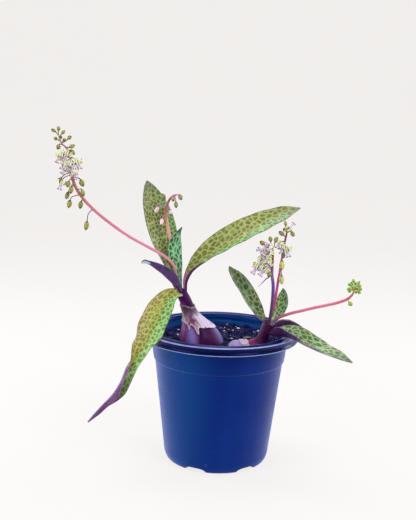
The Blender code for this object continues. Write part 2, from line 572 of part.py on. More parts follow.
def make_stalk(name, route, flowers, mat, count):
    stalk = add_object(name, *loft(tube_rings(route, 8, count, start_angle=0.2)), mat)
    fine = smooth_rows(route, 201)
    verts, faces = [], []
    for t, dx, dy, dz, radius, length in flowers:
        start = fine[int(round(t * 200)), :3]
        v, f = loft(bud_rings(start, start + np.array((dx, dy, dz)), radius, length))
        faces += [tuple(i + len(verts) for i in q) for q in f]
        verts += v
    flower_mesh = add_object(name + "_flowers", verts, faces)
    mod = boolean(stalk, flower_mesh, 'UNION')
    mod.use_self = True
    return stalk


# ---- build ----------------------------------------------------------------
make_pot()
make_soil()
make_bulb_1("bulb_1", finish("bulb_1_skin", (0.16, 0.035, 0.13), 0.38))
make_tunic_1(finish("bulb_1_tunic", (0.42, 0.33, 0.36), 0.7))
make_bulb_2("bulb_2", finish("bulb_2_skin", (0.24, 0.06, 0.18), 0.4))
make_tunic_2(finish("bulb_2_tunic", (0.55, 0.42, 0.50), 0.7))

LEAF_FINISH = {
    "leaf_drooping": (0.20, 0.26, 0.04), "leaf_upright": (0.16, 0.24, 0.05),
    "leaf_folded": (0.14, 0.34, 0.16), "leaf_curled": (0.07, 0.02, 0.12),
    "leaf_broad": (0.17, 0.26, 0.05), "leaf_left": (0.14, 0.20, 0.07),
    "leaf_inner": (0.12, 0.25, 0.09), "leaf_arching": (0.15, 0.22, 0.06),
    "leaf_short": (0.09, 0.03, 0.12), "leaf_young": (0.30, 0.40, 0.10),
}
LEAF_STATIONS = {"leaf_drooping": 24, "leaf_broad": 20, "leaf_upright": 15, "leaf_arching": 17}
for leaf_name, leaf_rows in LEAVES.items():
    make_leaf(leaf_name, leaf_rows, finish(leaf_name, LEAF_FINISH[leaf_name], 0.45),
              LEAF_STATIONS.get(leaf_name, 13))

STALK_FINISH = {
    "flower_stalk_1": (0.50, 0.16, 0.20), "flower_stalk_2": (0.55, 0.20, 0.26),
    "flower_stalk_3": (0.15, 0.03, 0.17), "flower_stalk_4": (0.48, 0.12, 0.25),
    "flower_stalk_5": (0.45, 0.13, 0.20),
}
STALK_STATIONS = {"flower_stalk_1": 34, "flower_stalk_5": 22}
for stalk_name, spec in STALKS.items():
    extra = cluster_flowers() if stalk_name == "flower_stalk_5" else []
    make_stalk(stalk_name, spec["route"], spec["flowers"] + extra,
               finish(stalk_name, STALK_FINISH[stalk_name], 0.5), STALK_STATIONS.get(stalk_name, 18))
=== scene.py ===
import math

import bmesh
import bpy
import numpy as np
from mathutils import Matrix, Vector, noise


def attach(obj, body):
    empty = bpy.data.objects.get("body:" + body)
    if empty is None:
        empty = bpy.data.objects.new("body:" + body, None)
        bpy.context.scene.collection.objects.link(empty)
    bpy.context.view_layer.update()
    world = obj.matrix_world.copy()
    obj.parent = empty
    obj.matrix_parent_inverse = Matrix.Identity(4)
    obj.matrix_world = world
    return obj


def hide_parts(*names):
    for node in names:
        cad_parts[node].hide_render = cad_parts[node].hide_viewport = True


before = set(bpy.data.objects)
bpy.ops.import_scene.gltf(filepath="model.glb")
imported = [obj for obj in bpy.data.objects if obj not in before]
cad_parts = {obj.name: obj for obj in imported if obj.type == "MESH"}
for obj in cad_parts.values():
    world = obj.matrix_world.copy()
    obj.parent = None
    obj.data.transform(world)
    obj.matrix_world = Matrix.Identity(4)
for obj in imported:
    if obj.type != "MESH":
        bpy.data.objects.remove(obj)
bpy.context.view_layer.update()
MM = 0.001


# ===========================================================================
# small helpers
# ===========================================================================
def rgb(r, g, b):
    """Screen colour 0-255 to linear."""
    out = []
    for c in (r, g, b):
        c /= 255.0
        out.append(c / 12.92 if c <= 0.04045 else ((c + 0.055) / 1.055) ** 2.4)
    return (*out, 1.0)


class Shape:
    """Collects points (mm), faces and point attributes of one piece."""

    def __init__(self, *names):
        self.v, self.f, self.m = [], [], []
        self.names = names
        self.a = {n: [] for n in names}
        self.n = 0

    def add(self, verts, faces, mat=0, **values):
        verts = np.asarray(verts, float).reshape(-1, 3)
        k = len(verts)
        self.v.append(verts)
        self.f += [tuple(i + self.n for i in q) for q in faces]
        self.m += [mat] * len(faces)
        for name in self.names:
            val = values.get(name, 0.0)
            self.a[name].append(np.full(k, val, float) if np.isscalar(val) else np.asarray(val, float).ravel())
        self.n += k

    def build(self, name, mats, smooth=True, flat_angle=None):
        mesh = bpy.data.meshes.new(name)
        v = np.concatenate(self.v) * MM
        mesh.from_pydata([tuple(p) for p in v], [], self.f)
        mesh.update()
        for m in mats:
            mesh.materials.append(m)
        mesh.polygons.foreach_set("material_index", self.m)
        for key in self.names:
            at = mesh.attributes.new(key, 'FLOAT', 'POINT')
            at.data.foreach_set("value", np.concatenate(self.a[key]).astype(np.float32))
        if smooth:
            mesh.shade_smooth()
            if flat_angle:
                mesh.set_sharp_from_angle(angle=math.radians(flat_angle))
        obj = bpy.data.objects.new(name, mesh)
        bpy.context.scene.collection.objects.link(obj)
        return obj


def hermite(rows, count, lead=0.0):
    p = np.array(rows, float)
    if lead:
        first = p[0].copy()
        d = p[1, :3] - p[0, :3]
        first[:3] -= d / np.linalg.norm(d) * lead
        p = np.vstack([first, p])
    d = np.concatenate([[0.0], np.cumsum(np.linalg.norm(np.diff(p[:, :3], axis=0), axis=1))])
    m = np.gradient(p, d, axis=0)
    t = np.linspace(0.0, d[-1], count)
    k = np.clip(np.searchsorted(d, t, side='right') - 1, 0, len(d) - 2)
    h = (d[k + 1] - d[k])[:, None]
    u = (t - d[k])[:, None] / h
    out = ((2 * u**3 - 3 * u**2 + 1) * p[k] + (u**3 - 2 * u**2 + u) * h * m[k]
           + (-2 * u**3 + 3 * u**2) * p[k + 1] + (u**3 - u**2) * h * m[k + 1])
    return out, t - lead, d[-1] - lead


def tangents(points):
    t = np.gradient(points, axis=0)
    return t / np.linalg.norm(t, axis=1)[:, None]


def unit(v):
    v = np.asarray(v, float)
    return v / np.linalg.norm(v)


def frames(points, first=None):
    """Two directions square to the route at each point, without twist."""
    t = tangents(points)
    u = np.cross(t[0], (0.0, 1.0, 0.0)) if first is None else np.asarray(first, float)
    if np.linalg.norm(u) < 1e-3:
        u = np.cross(t[0], (1.0, 0.0, 0.0))
    us, vs = [], []
    for i in range(len(points)):
        u = unit(u - t[i] * (u @ t[i]))
        us.append(u)
        vs.append(np.cross(t[i], u))
    return t, np.array(us), np.array(vs)


def grid_faces(rows, cols, loop=True, close_ends=True):
    faces = []
    for i in range(rows - 1):
        for j in range(cols if loop else cols - 1):
            k = (j + 1) % cols
            faces.append((i * cols + j, i * cols + k, (i + 1) * cols + k, (i + 1) * cols + j))
    if close_ends:
        faces.append(tuple(reversed(range(cols))))
        faces.append(tuple((rows - 1) * cols + j for j in range(cols)))
    return faces


def tube(shape, points, radii, sides=8, mat=0, **values):
    points = np.asarray(points, float)
    radii = np.full(len(points), radii) if np.isscalar(radii) else np.asarray(radii)
    _, us, vs = frames(points)
    a = np.linspace(0, 2 * math.pi, sides, endpoint=False)
    ring = (points[:, None, :] + radii[:, None, None]
            * (np.cos(a)[None, :, None] * us[:, None, :] + np.sin(a)[None, :, None] * vs[:, None, :]))
    full = {}
    for key, val in values.items():
        full[key] = val if np.isscalar(val) else np.repeat(np.asarray(val), sides)
    shape.add(ring.reshape(-1, 3), grid_faces(len(points), sides), mat, **full)


def smoothstep(x, a, b):
    t = np.clip((np.asarray(x, float) - a) / (b - a), 0, 1)
    return t * t * (3 - 2 * t)


def wob(*p, scale=1.0, seed=0.0):
    """Smooth repeatable noise, -1 to 1."""
    return noise.noise(Vector((p[0] * scale + seed * 7.3, p[1] * scale - seed * 3.1, (p[2] if len(p) > 2 else 0.0) * scale + seed)))


class Nodes:
    """Short way to write a node material."""

    def __init__(self, name):
        self.mat = bpy.data.materials.new(name)
        self.mat.use_nodes = True
        self.t = self.mat.node_tree
        self.t.nodes.clear()

    def put(self, socket, value):
        if isinstance(value, bpy.types.NodeSocket):
            self.t.links.new(value, socket)
        else:
            socket.default_value = value

    def add(self, kind, ins=None, out=0, **props):
        n = self.t.nodes.new(kind)
        for k, v in props.items():
            setattr(n, k, v)
        for k, v in (ins or {}).items():
            self.put(n.inputs[k], v)
        return n.outputs[out]

    def attr(self, name, out="Fac"):
        return self.add("ShaderNodeAttribute", out=out, attribute_name=name)

    def obj(self):
        return self.add("ShaderNodeTexCoord", out="Object")

    def math(self, op, a, b=0.0, clamp=False):
        return self.add("ShaderNodeMath", {0: a, 1: b}, operation=op, use_clamp=clamp)

    def vec(self, x, y, z=0.0):
        return self.add("ShaderNodeCombineXYZ", {0: x, 1: y, 2: z})

    def scale(self, v, s):
        n = self.t.nodes.new("ShaderNodeVectorMath")
        n.operation = 'MULTIPLY'
        self.put(n.inputs[0], v)
        n.inputs[1].default_value = s
        return n.outputs[0]

    def vadd(self, a, b):
        n = self.t.nodes.new("ShaderNodeVectorMath")
        n.operation = 'ADD'
        self.put(n.inputs[0], a)
        self.put(n.inputs[1], b)
        return n.outputs[0]

    def mix(self, fac, a, b, blend='MIX'):
        n = self.t.nodes.new("ShaderNodeMix")
        n.data_type = 'RGBA'
        n.blend_type = blend
        self.put(n.inputs[0], fac)
        self.put(n.inputs[6], a)
        self.put(n.inputs[7], b)
        return n.outputs[2]

    def step(self, x, lo, hi, a=0.0, b=1.0):
        n = self.t.nodes.new("ShaderNodeMapRange")
        n.interpolation_type = 'SMOOTHSTEP'
        self.put(n.inputs["Value"], x)
        self.put(n.inputs["From Min"], lo)
        self.put(n.inputs["From Max"], hi)
        self.put(n.inputs["To Min"], a)
        self.put(n.inputs["To Max"], b)
        return n.outputs[0]

    def noise(self, v, scale, detail=3.0, rough=0.5, out="Fac"):
        return self.add("ShaderNodeTexNoise", {"Vector": v, "Scale": scale, "Detail": detail, "Roughness": rough}, out=out)

    def voronoi(self, v, scale, feature='F1', out="Distance", rand=1.0, flat=False):
        n = self.t.nodes.new("ShaderNodeTexVoronoi")
        n.feature = feature
        if flat:
            n.voronoi_dimensions = '2D'
        self.put(n.inputs["Vector"], v)
        n.inputs["Scale"].default_value = scale
        n.inputs["Randomness"].default_value = rand
        return n.outputs[out]

    def ramp(self, fac, stops, interp='LINEAR'):
        n = self.t.nodes.new("ShaderNodeValToRGB")
        n.color_ramp.interpolation = interp
        e = n.color_ramp.elements
        while len(e) > 1:
            e.remove(e[-1])
        e[0].position, e[0].color = stops[0]
        for pos, col in stops[1:]:
            x = e.new(pos)
            x.color = col
        self.put(n.inputs[0], fac)
        return n.outputs[0]

    def red(self, colour):
        return self.add("ShaderNodeSeparateColor", {0: colour}, out=0)

    def green(self, colour):
        return self.add("ShaderNodeSeparateColor", {0: colour}, out=1)

    def bump(self, height, distance, strength=1.0, normal=None):
        ins = {"Height": height, "Distance": distance * MM, "Strength": strength}
        if normal is not None:
            ins["Normal"] = normal
        return self.add("ShaderNodeBump", ins, out="Normal")

    def surface(self, colour, roughness, normal=None, **consts):
        n = self.t.nodes.new("ShaderNodeBsdfPrincipled")
        self.put(n.inputs["Base Color"], colour)
        self.put(n.inputs["Roughness"], roughness)
        if normal is not None:
            self.put(n.inputs["Normal"], normal)
        for k, v in consts.items():
            n.inputs[k.replace("_", " ")].default_value = v
        out = self.t.nodes.new("ShaderNodeOutputMaterial")
        self.t.links.new(n.outputs[0], out.inputs[0])
        return self.mat


def settle(obj, slot_name=None, *nodes):
    """Piece rides on the one body; it stands for these CAD nodes."""
    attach(obj, "root")
    if nodes:
        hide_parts(*nodes)
    return obj


# ===========================================================================
# camera, light, stage
# ===========================================================================
CAM_AT = Vector((-9.267, -500.0, 209.39)) * MM
CAM_PITCH, CAM_ROLL = 0.15173, 0.03217
FOCAL_PX = 772.62


def make_camera():
    fwd = Vector((0, math.cos(CAM_PITCH), -math.sin(CAM_PITCH)))
    right = Vector((1, 0, 0))
    up = right.cross(fwd)
    c, s = math.cos(CAM_ROLL), math.sin(CAM_ROLL)
    right2 = right * c + up * s
    up2 = up * c - right * s
    cam = bpy.data.cameras.new("camera")
    cam.sensor_width = 36.0
    cam.sensor_fit = 'AUTO'
    cam.lens = FOCAL_PX * 36.0 / 520.0
    cam.clip_start, cam.clip_end = 0.02, 20.0
    ob = bpy.data.objects.new("camera", cam)
    bpy.context.scene.collection.objects.link(ob)
    m = Matrix.Identity(4)
    for row in range(3):
        m[row][0], m[row][1], m[row][2], m[row][3] = right2[row], up2[row], -fwd[row], CAM_AT[row]
    ob.matrix_world = m
    bpy.context.scene.camera = ob


def area(name, loc, look, size, power, colour=(1, 1, 1), size_y=None):
    light = bpy.data.lights.new(name, 'AREA')
    light.energy = power
    light.color = colour
    light.size = size
    if size_y:
        light.shape = 'RECTANGLE'
        light.size_y = size_y
    ob = bpy.data.objects.new(name, light)
    bpy.context.scene.collection.objects.link(ob)
    d = Vector(look) - Vector(loc)
    ob.location = loc
    ob.rotation_euler = d.to_track_quat('-Z', 'Y').to_euler()
    return ob


def make_stage():
    scene = bpy.context.scene
    scene.view_settings.view_transform = 'Standard'
    scene.view_settings.look = 'None'
    scene.view_settings.exposure = 0.0
    scene.view_settings.gamma = 1.0
    world = bpy.data.worlds.new("studio")
    scene.world = world
    world.use_nodes = True
    bg = world.node_tree.nodes["Background"]
    bg.inputs[0].default_value = (0.93, 0.94, 0.96, 1.0)
    bg.inputs[1].default_value = 0.28
    # a paper sweep: floor that curves up into a wall
    prof = [(-2.6, 0.0), (1.2, 0.0)]
    for k in range(1, 25):
        a = math.pi / 2 * k / 24
        prof.append((1.2 + 0.9 * math.sin(a), 0.9 - 0.9 * math.cos(a)))
    prof.append((2.1, 3.2))
    shape = Shape("h")
    xs = np.linspace(-3.5, 3.5, 9)
    pts = [(x * 1000, y * 1000, z * 1000) for y, z in prof for x in xs]
    faces = [tuple(reversed(q)) for q in grid_faces(len(prof), len(xs), loop=False, close_ends=False)]
    shape.add(pts, faces)
    n = Nodes("sweep_paper")
    grain = n.noise(n.obj(), 9.0, 4.0)
    tone = n.mix(n.step(grain, 0.3, 0.7), rgb(240, 240, 241), rgb(243, 242, 241))
    diff = n.add("ShaderNodeBsdfDiffuse", {"Color": tone})
    emit = n.add("ShaderNodeEmission", {"Color": rgb(244, 241, 239), "Strength": 1.04})
    mixer = n.add("ShaderNodeMixShader", {0: 0.86, 1: diff, 2: emit})
    out = n.t.nodes.new("ShaderNodeOutputMaterial")
    n.t.links.new(mixer, out.inputs[0])
    sweep = shape.build("sweep", [n.mat])
    # soft boxes
    area("key", (0.70, -0.70, 1.00), (0, 0, 0.10), 0.60, 9.5, (1.0, 0.985, 0.96))
    area("fill", (-0.95, -0.60, 0.60), (0, 0, 0.10), 0.60, 5.0, (0.95, 0.97, 1.0))
    area("top", (-0.05, 0.25, 1.05), (0, 0, 0.08), 0.55, 5.0, (1.0, 1.0, 1.0))
    area("left_strip", (-0.60, 0.22, 0.16), (0, 0, 0.05), 0.22, 3.4, (0.90, 0.92, 1.0), 0.6)
    area("right_strip", (0.60, 0.22, 0.16), (0, 0, 0.05), 0.22, 2.4, (0.90, 0.92, 1.0), 0.6)


make_camera()
make_stage()


# ===========================================================================
# pot
# ===========================================================================
POT_HEIGHT, LIP_RADIUS, LIP_INNER, LIP_DEPTH = 87.4, 52.0, 44.2, 5.1
COLLAR_Z, COLLAR_R, BODY_TOP_R, FOOT_R, WALL, FLOOR = 68.2, 43.3, 42.4, 35.3, 1.15, 1.2
NOTCHES, NOTCH_H, NOTCH_SPAN, NOTCH_FIRST = 6, 3.0, 27.0, -114.0


def body_radius(z):
    return FOOT_R + (BODY_TOP_R - FOOT_R) * (z - 8.0) / (COLLAR_Z - 9.0)


def fillet(points, arc=5):
    """Rounds each profile corner with its own radius (third number)."""
    out = []
    for i, (r, z, rad) in enumerate(points):
        p = np.array((r, z), float)
        if rad <= 0 or i in (0, len(points) - 1):
            out.append(tuple(p))
            continue
        a, b = np.array(points[i - 1][:2], float), np.array(points[i + 1][:2], float)
        da, db = unit(a - p), unit(b - p)
        cut = min(rad, 0.48 * np.linalg.norm(a - p), 0.48 * np.linalg.norm(b - p))
        s, e = p + da * cut, p + db * cut
        for k in range(arc + 1):
            t = k / arc
            out.append(tuple((1 - t)**2 * s + 2 * t * (1 - t) * p + t * t * e))
    return out


def pot_material():
    n = Nodes("pot_plastic")
    o = n.obj()
    x = n.add("ShaderNodeSeparateXYZ", {0: o}, out=0)
    z = n.add("ShaderNodeSeparateXYZ", {0: o}, out=2)
    cloud = n.noise(o, 16.0, 3.0)
    streak = n.noise(n.scale(o, (60.0, 60.0, 3.0)), 1.0, 3.0)
    col = n.mix(n.step(cloud, 0.32, 0.68), rgb(2, 32, 106), rgb(5, 42, 120))
    # painted light: the left third of the plastic is painted a lighter teal, as if lit from that side
    painted_left_light = n.math('MULTIPLY', n.step(n.math('ADD', x, n.math('MULTIPLY', n.math('SUBTRACT', cloud, 0.5), 0.03)), 0.002, -0.026), 0.75)
    col = n.mix(painted_left_light, col, rgb(10, 66, 132))
    col = n.mix(n.math('MULTIPLY', n.step(streak, 0.45, 0.75), 0.30), col, rgb(12, 56, 140))
    dust = n.math('MULTIPLY', n.step(n.noise(o, 240.0, 4.0), 0.64, 0.80), 0.14)
    col = n.mix(dust, col, rgb(90, 116, 176))
    # painted shade: the whole lip above about 82 mm is painted near-black navy
    lip = n.step(z, 0.0812, 0.0826)
    y = n.add("ShaderNodeSeparateXYZ", {0: o}, out=1)
    out = n.math('SQRT', n.math('ADD', n.math('MULTIPLY', x, x), n.math('MULTIPLY', y, y)))
    col = n.mix(n.math('MULTIPLY', lip, n.step(out, 0.0436, 0.0446)), col, rgb(6, 9, 52))
    # painted reflection: inside the wall near the top the plastic is painted paler in soft bands
    wall_at = n.step(z, 0.0815, 0.0835, 0.0438, 0.0452)
    inner_wall_reflection = n.math('MULTIPLY', n.step(n.math('SUBTRACT', out, wall_at), 0.00015, -0.0001), n.step(z, 0.0730, 0.0738))
    reflection_band = n.noise(n.vec(n.math('MULTIPLY', x, 16.0), n.math('MULTIPLY', z, 420.0), 0.0), 1.0, 3.0, 0.6)
    col = n.mix(n.math('MULTIPLY', inner_wall_reflection, n.step(reflection_band, 0.38, 0.66)), col, rgb(34, 92, 158))
    # painted highlights: thin pale lines along the lip's lower and upper moulded edges, broken up by the streak noise
    low_edge_highlight = n.math('MULTIPLY', n.step(z, 0.08300, 0.08272), n.step(out, 0.0505, 0.0515))
    col = n.mix(n.math('MULTIPLY', low_edge_highlight, n.step(streak, 0.25, 0.6, 0.60, 1.0)), col, rgb(150, 172, 240))
    top_edge_highlight = n.math('MULTIPLY', n.step(z, 0.0868, 0.0872), n.step(out, 0.0500, 0.0508))
    col = n.mix(n.math('MULTIPLY', top_edge_highlight, n.step(streak, 0.3, 0.62, 0.45, 0.95)), col, rgb(148, 160, 232))
    rough = n.step(n.noise(o, 90.0, 4.0), 0.3, 0.7, 0.24, 0.36)
    fine = n.noise(o, 1500.0, 2.0)
    wave = n.noise(n.scale(o, (45.0, 45.0, 14.0)), 1.0, 2.0)
    nrm = n.bump(fine, 0.02, 0.35)
    nrm = n.bump(wave, 0.30, 0.5, nrm)
    return n.surface(col, rough, nrm, IOR=1.42, Specular_IOR_Level=0.36, Specular_Tint=rgb(90, 124, 255), Coat_Weight=0.03, Coat_Roughness=0.12,
                     Sheen_Weight=0.8, Sheen_Roughness=0.28, Sheen_Tint=rgb(88, 122, 255))


def make_pot():
    h, lip = POT_HEIGHT, LIP_RADIUS
    prof = [
        (0, 0, 0), (20.0, 0, 0), (33.4, 0.0, 1.8), (34.9, 4.2, 2.4), (body_radius(8.0), 8.0, 1.0),
        (body_radius(30.0), 30.0, 1.0), (body_radius(52.0), 52.0, 1.0), (BODY_TOP_R, COLLAR_Z - 0.9, 0.35),
        (COLLAR_R, COLLAR_Z - 0.2, 0.5), (COLLAR_R + 0.35, COLLAR_Z + 2.2, 0.8), (44.1, 73.5, 0.8),
        (44.8, h - LIP_DEPTH - 0.9, 0.8), (46.2, h - LIP_DEPTH + 0.1, 0.8),
        (lip - 0.1, h - LIP_DEPTH - 0.05, 0.8), (lip - 0.1, h - LIP_DEPTH + 1.3, 0.4),
        (lip - 0.7, h - LIP_DEPTH + 2.2, 0.6), (lip - 0.6, h - 1.7, 0.6), (lip - 0.1, h - 1.1, 0.4), (lip - 0.2, h - 0.05, 0.9),
        (lip - 2.3, h, 0.8), (lip - 3.4, h - 0.75, 0.6), (LIP_INNER + 3.0, h - 0.75, 0.6),
        (LIP_INNER + 1.9, h, 0.6), (LIP_INNER + 0.3, h, 0.7), (LIP_INNER - 0.25, h - 1.8, 0.6),
        (44.7 - WALL, h - LIP_DEPTH - 1.6, 0.8), (44.1 - WALL, 73.5, 0.8), (COLLAR_R - WALL, COLLAR_Z + 1.0, 0.4),
        (BODY_TOP_R - WALL, COLLAR_Z - 0.8, 0.4), (body_radius(38.0) - WALL, 38.0, 1.0),
        (body_radius(8.0) - WALL, 8.0, 1.0), (33.3, 3.0, 1.2), (31.6, FLOOR, 0.8), (0, FLOOR, 0),
    ]
    prof = fillet([(float(r), float(z), float(q)) for r, z, q in prof], 4)
    sides = 192
    verts = [(0.0, 0.0, prof[0][1])]
    for r, z in prof[1:-1]:
        for j in range(sides):
            a = 2 * math.pi * j / sides
            verts.append((r * math.cos(a), r * math.sin(a), z))
    verts.append((0.0, 0.0, prof[-1][1]))
    faces = []
    rows = len(prof) - 2
    for j in range(sides):
        k = (j + 1) % sides
        faces.append((0, 1 + k, 1 + j))
        for i in range(rows - 1):
            a, b = 1 + i * sides, 1 + (i + 1) * sides
            faces.append((a + j, a + k, b + k, b + j))
        last = 1 + (rows - 1) * sides
        faces.append((last + j, last + k, len(verts) - 1))
    shape = Shape("h")
    shape.add(verts, faces)
    pot = shape.build("pot_body", [pot_material()], flat_angle=38)
    # drain notches round the foot, rounded at their ends
    cut = Shape("h")
    half = math.radians(NOTCH_SPAN / 2)
    for k in range(NOTCHES):
        mid = math.radians(NOTCH_FIRST + 360.0 / NOTCHES * k)
        rings = []
        steps = 17
        for s in np.linspace(-1.0, 1.0, steps):
            top = 0.3 + (NOTCH_H - 0.3) * (1 - abs(s)**3.0) ** 0.6
            a = mid + half * s
            sec = [(26.0, -2.0), (38.0, -2.0), (38.0, top), (29.5, top), (26.0, min(0.8, top * 0.5))]
            rings += [(r * math.cos(a), r * math.sin(a), z) for r, z in sec]
        cut.add(rings, grid_faces(steps, 5))
    cutter = cut.build("notch_cutter", [])
    for shaped in (pot, cutter):
        bm = bmesh.new()
        bm.from_mesh(shaped.data)
        bmesh.ops.recalc_face_normals(bm, faces=bm.faces)
        bm.to_mesh(shaped.data)
        bm.free()
    mod = pot.modifiers.new("notches", 'BOOLEAN')
    mod.operation, mod.object, mod.solver = 'DIFFERENCE', cutter, 'EXACT'
    dg = bpy.context.evaluated_depsgraph_get()
    done = bpy.data.meshes.new_from_object(pot.evaluated_get(dg))
    pot.modifiers.clear()
    pot.data = done
    done.set_sharp_from_angle(angle=math.radians(38))
    bpy.data.objects.remove(cutter, do_unlink=True)
    settle(pot, "pot_plastic", "pot")


# ===========================================================================
# bulbs
# ===========================================================================
BULB_1 = [
    (-10.5, -10.0, 65.0, 4.0), (-10.6, -10.0, 66.4, 7.6), (-10.9, -10.0, 69.5, 11.2),
    (-11.3, -10.0, 74.0, 13.7), (-11.6, -10.0, 79.0, 14.5), (-12.1, -10.0, 83.5, 13.8),
    (-13.3, -10.0, 88.5, 11.8), (-14.9, -10.0, 92.2, 9.7), (-17.0, -10.0, 95.8, 7.0),
    (-19.0, -10.0, 98.9, 5.2), (-20.6, -10.0, 101.8, 4.4), (-22.3, -10.0, 106.0, 4.15),
    (-24.1, -10.0, 109.8, 4.2), (-25.7, -10.0, 113.2, 3.7),
]
BULB_2 = [
    (4.8, -17.0, 72.6, 2.4), (6.4, -16.8, 73.4, 5.2), (11.0, -16.3, 75.2, 8.2),
    (16.0, -15.7, 77.2, 7.0), (20.6, -15.0, 79.4, 5.0), (24.6, -14.1, 81.6, 4.0), (27.2, -13.3, 83.8, 3.6),
    (28.3, -12.9, 87.0, 3.6), (29.7, -12.6, 91.0, 3.45), (30.8, -12.4, 94.5, 3.3),
]
_b1 = np.array(BULB_1)
_zf = np.linspace(65.0, 113.2, 200)
_k = np.clip(np.searchsorted(_b1[:, 2], _zf, side='right') - 1, 0, len(_b1) - 2)
_m = np.gradient(_b1, _b1[:, 2], axis=0)
_h = (_b1[_k + 1, 2] - _b1[_k, 2])[:, None]
_u = (_zf - _b1[_k, 2])[:, None] / _h
_fine = ((2 * _u**3 - 3 * _u**2 + 1) * _b1[_k] + (_u**3 - 2 * _u**2 + _u) * _h * _m[_k]
         + (-2 * _u**3 + 3 * _u**2) * _b1[_k + 1] + (_u**3 - _u**2) * _h * _m[_k + 1])


def bulb_1_at(z, a, grow=0.0):
    x = np.interp(z, _zf, _fine[:, 0])
    if z > 113.2:
        x -= (z - 113.2) * 0.35
    r = np.interp(z, _zf, _fine[:, 3]) + grow
    return np.array((x + r * math.cos(a), -10.0 + r * math.sin(a), z))


def angle_gap(a, b):
    return (a - b + math.pi) % (2 * math.pi) - math.pi


def bulb_1_material():
    n = Nodes("bulb_1_skin")
    o = n.obj()
    h, seam, lit, ang = n.attr("h"), n.attr("seam"), n.attr("lit"), n.attr("ang")
    fibre = n.noise(n.vec(n.math('MULTIPLY', ang, 14.0), 0.0, n.math('MULTIPLY', h, 1.6)), 3.0, 4.0, 0.6)
    blot = n.noise(o, 210.0, 3.0, 0.55)
    maroon = n.mix(fibre, rgb(26, 2, 44), rgb(84, 8, 66))
    magenta = n.mix(fibre, rgb(110, 14, 92), rgb(152, 48, 124))
    # painted light: the lit side of the bulb is painted magenta, the shaded side maroon
    col = n.mix(lit, maroon, magenta)
    # painted highlights: lilac patches where the glossy skin catches light; shade is the strength of that painted
    # highlight
    lilac = n.mix(fibre, rgb(104, 98, 190), rgb(168, 160, 226))
    shade = n.math('MULTIPLY', n.attr("lilac"), n.step(fibre, 0.25, 0.6, 0.45, 1.0))
    col = n.mix(shade, col, lilac)
    col = n.mix(n.math('MULTIPLY', n.step(blot, 0.62, 0.74), 0.25), col, rgb(110, 60, 76))
    neck = n.step(h, 0.80, 0.90)
    necktone = n.mix(fibre, rgb(34, 4, 58), rgb(88, 20, 92))
    col = n.mix(neck, col, necktone)
    col = n.mix(seam, col, rgb(28, 8, 30))
    low = n.step(h, 0.36, 0.30)
    col = n.mix(low, col, rgb(30, 18, 30))
    nrm = n.bump(fibre, 0.35, 0.5)
    rough = n.step(blot, 0.3, 0.7, 0.28, 0.46)
    return n.surface(col, rough, nrm, Specular_IOR_Level=0.22, Specular_Tint=rgb(176, 150, 255), Coat_Weight=0.02,
                     Coat_Roughness=0.15)


def paper_material(name, light, mid, dark, spot, zoned=False):
    n = Nodes(name)
    o = n.obj()
    h, ang, edge = n.attr("h"), n.attr("ang"), n.attr("edge")
    fibre = n.noise(n.vec(n.math('MULTIPLY', ang, 20.0), 0.0, n.math('MULTIPLY', h, 1.3)), 3.0, 5.0, 0.65)
    patch = n.noise(o, 150.0, 3.0, 0.6)
    col = n.ramp(fibre, [(0.25, dark), (0.5, mid), (0.75, light)])
    col = n.mix(n.step(patch, 0.54, 0.66), col, spot)
    if zoned:
        zone = n.attr("zone")
        left = n.ramp(fibre, [(0.25, rgb(120, 84, 108)), (0.5, rgb(166, 138, 150)), (0.75, rgb(200, 182, 190))])
        left = n.mix(n.step(patch, 0.48, 0.58), left, rgb(118, 44, 96))
        col = n.mix(zone, left, col)
        high = n.step(n.math('ADD', h, n.math('MULTIPLY', n.math('SUBTRACT', patch, 0.5), 0.12)), 0.66, 0.73)
        col = n.mix(high, col, n.mix(n.step(fibre, 0.42, 0.6), rgb(44, 8, 58), rgb(124, 92, 118)))
    col = n.mix(n.math('MULTIPLY', n.attr("dirt"), n.step(n.noise(o, 420.0, 3.0), 0.42, 0.56)), col, rgb(52, 34, 44))
    col = n.mix(n.math('MULTIPLY', edge, 0.8), col, light)
    nrm = n.bump(fibre, 0.30, 0.7)
    return n.surface(col, n.step(patch, 0.3, 0.7, 0.42, 0.7), nrm, Sheen_Weight=0.3, Sheen_Roughness=0.4)


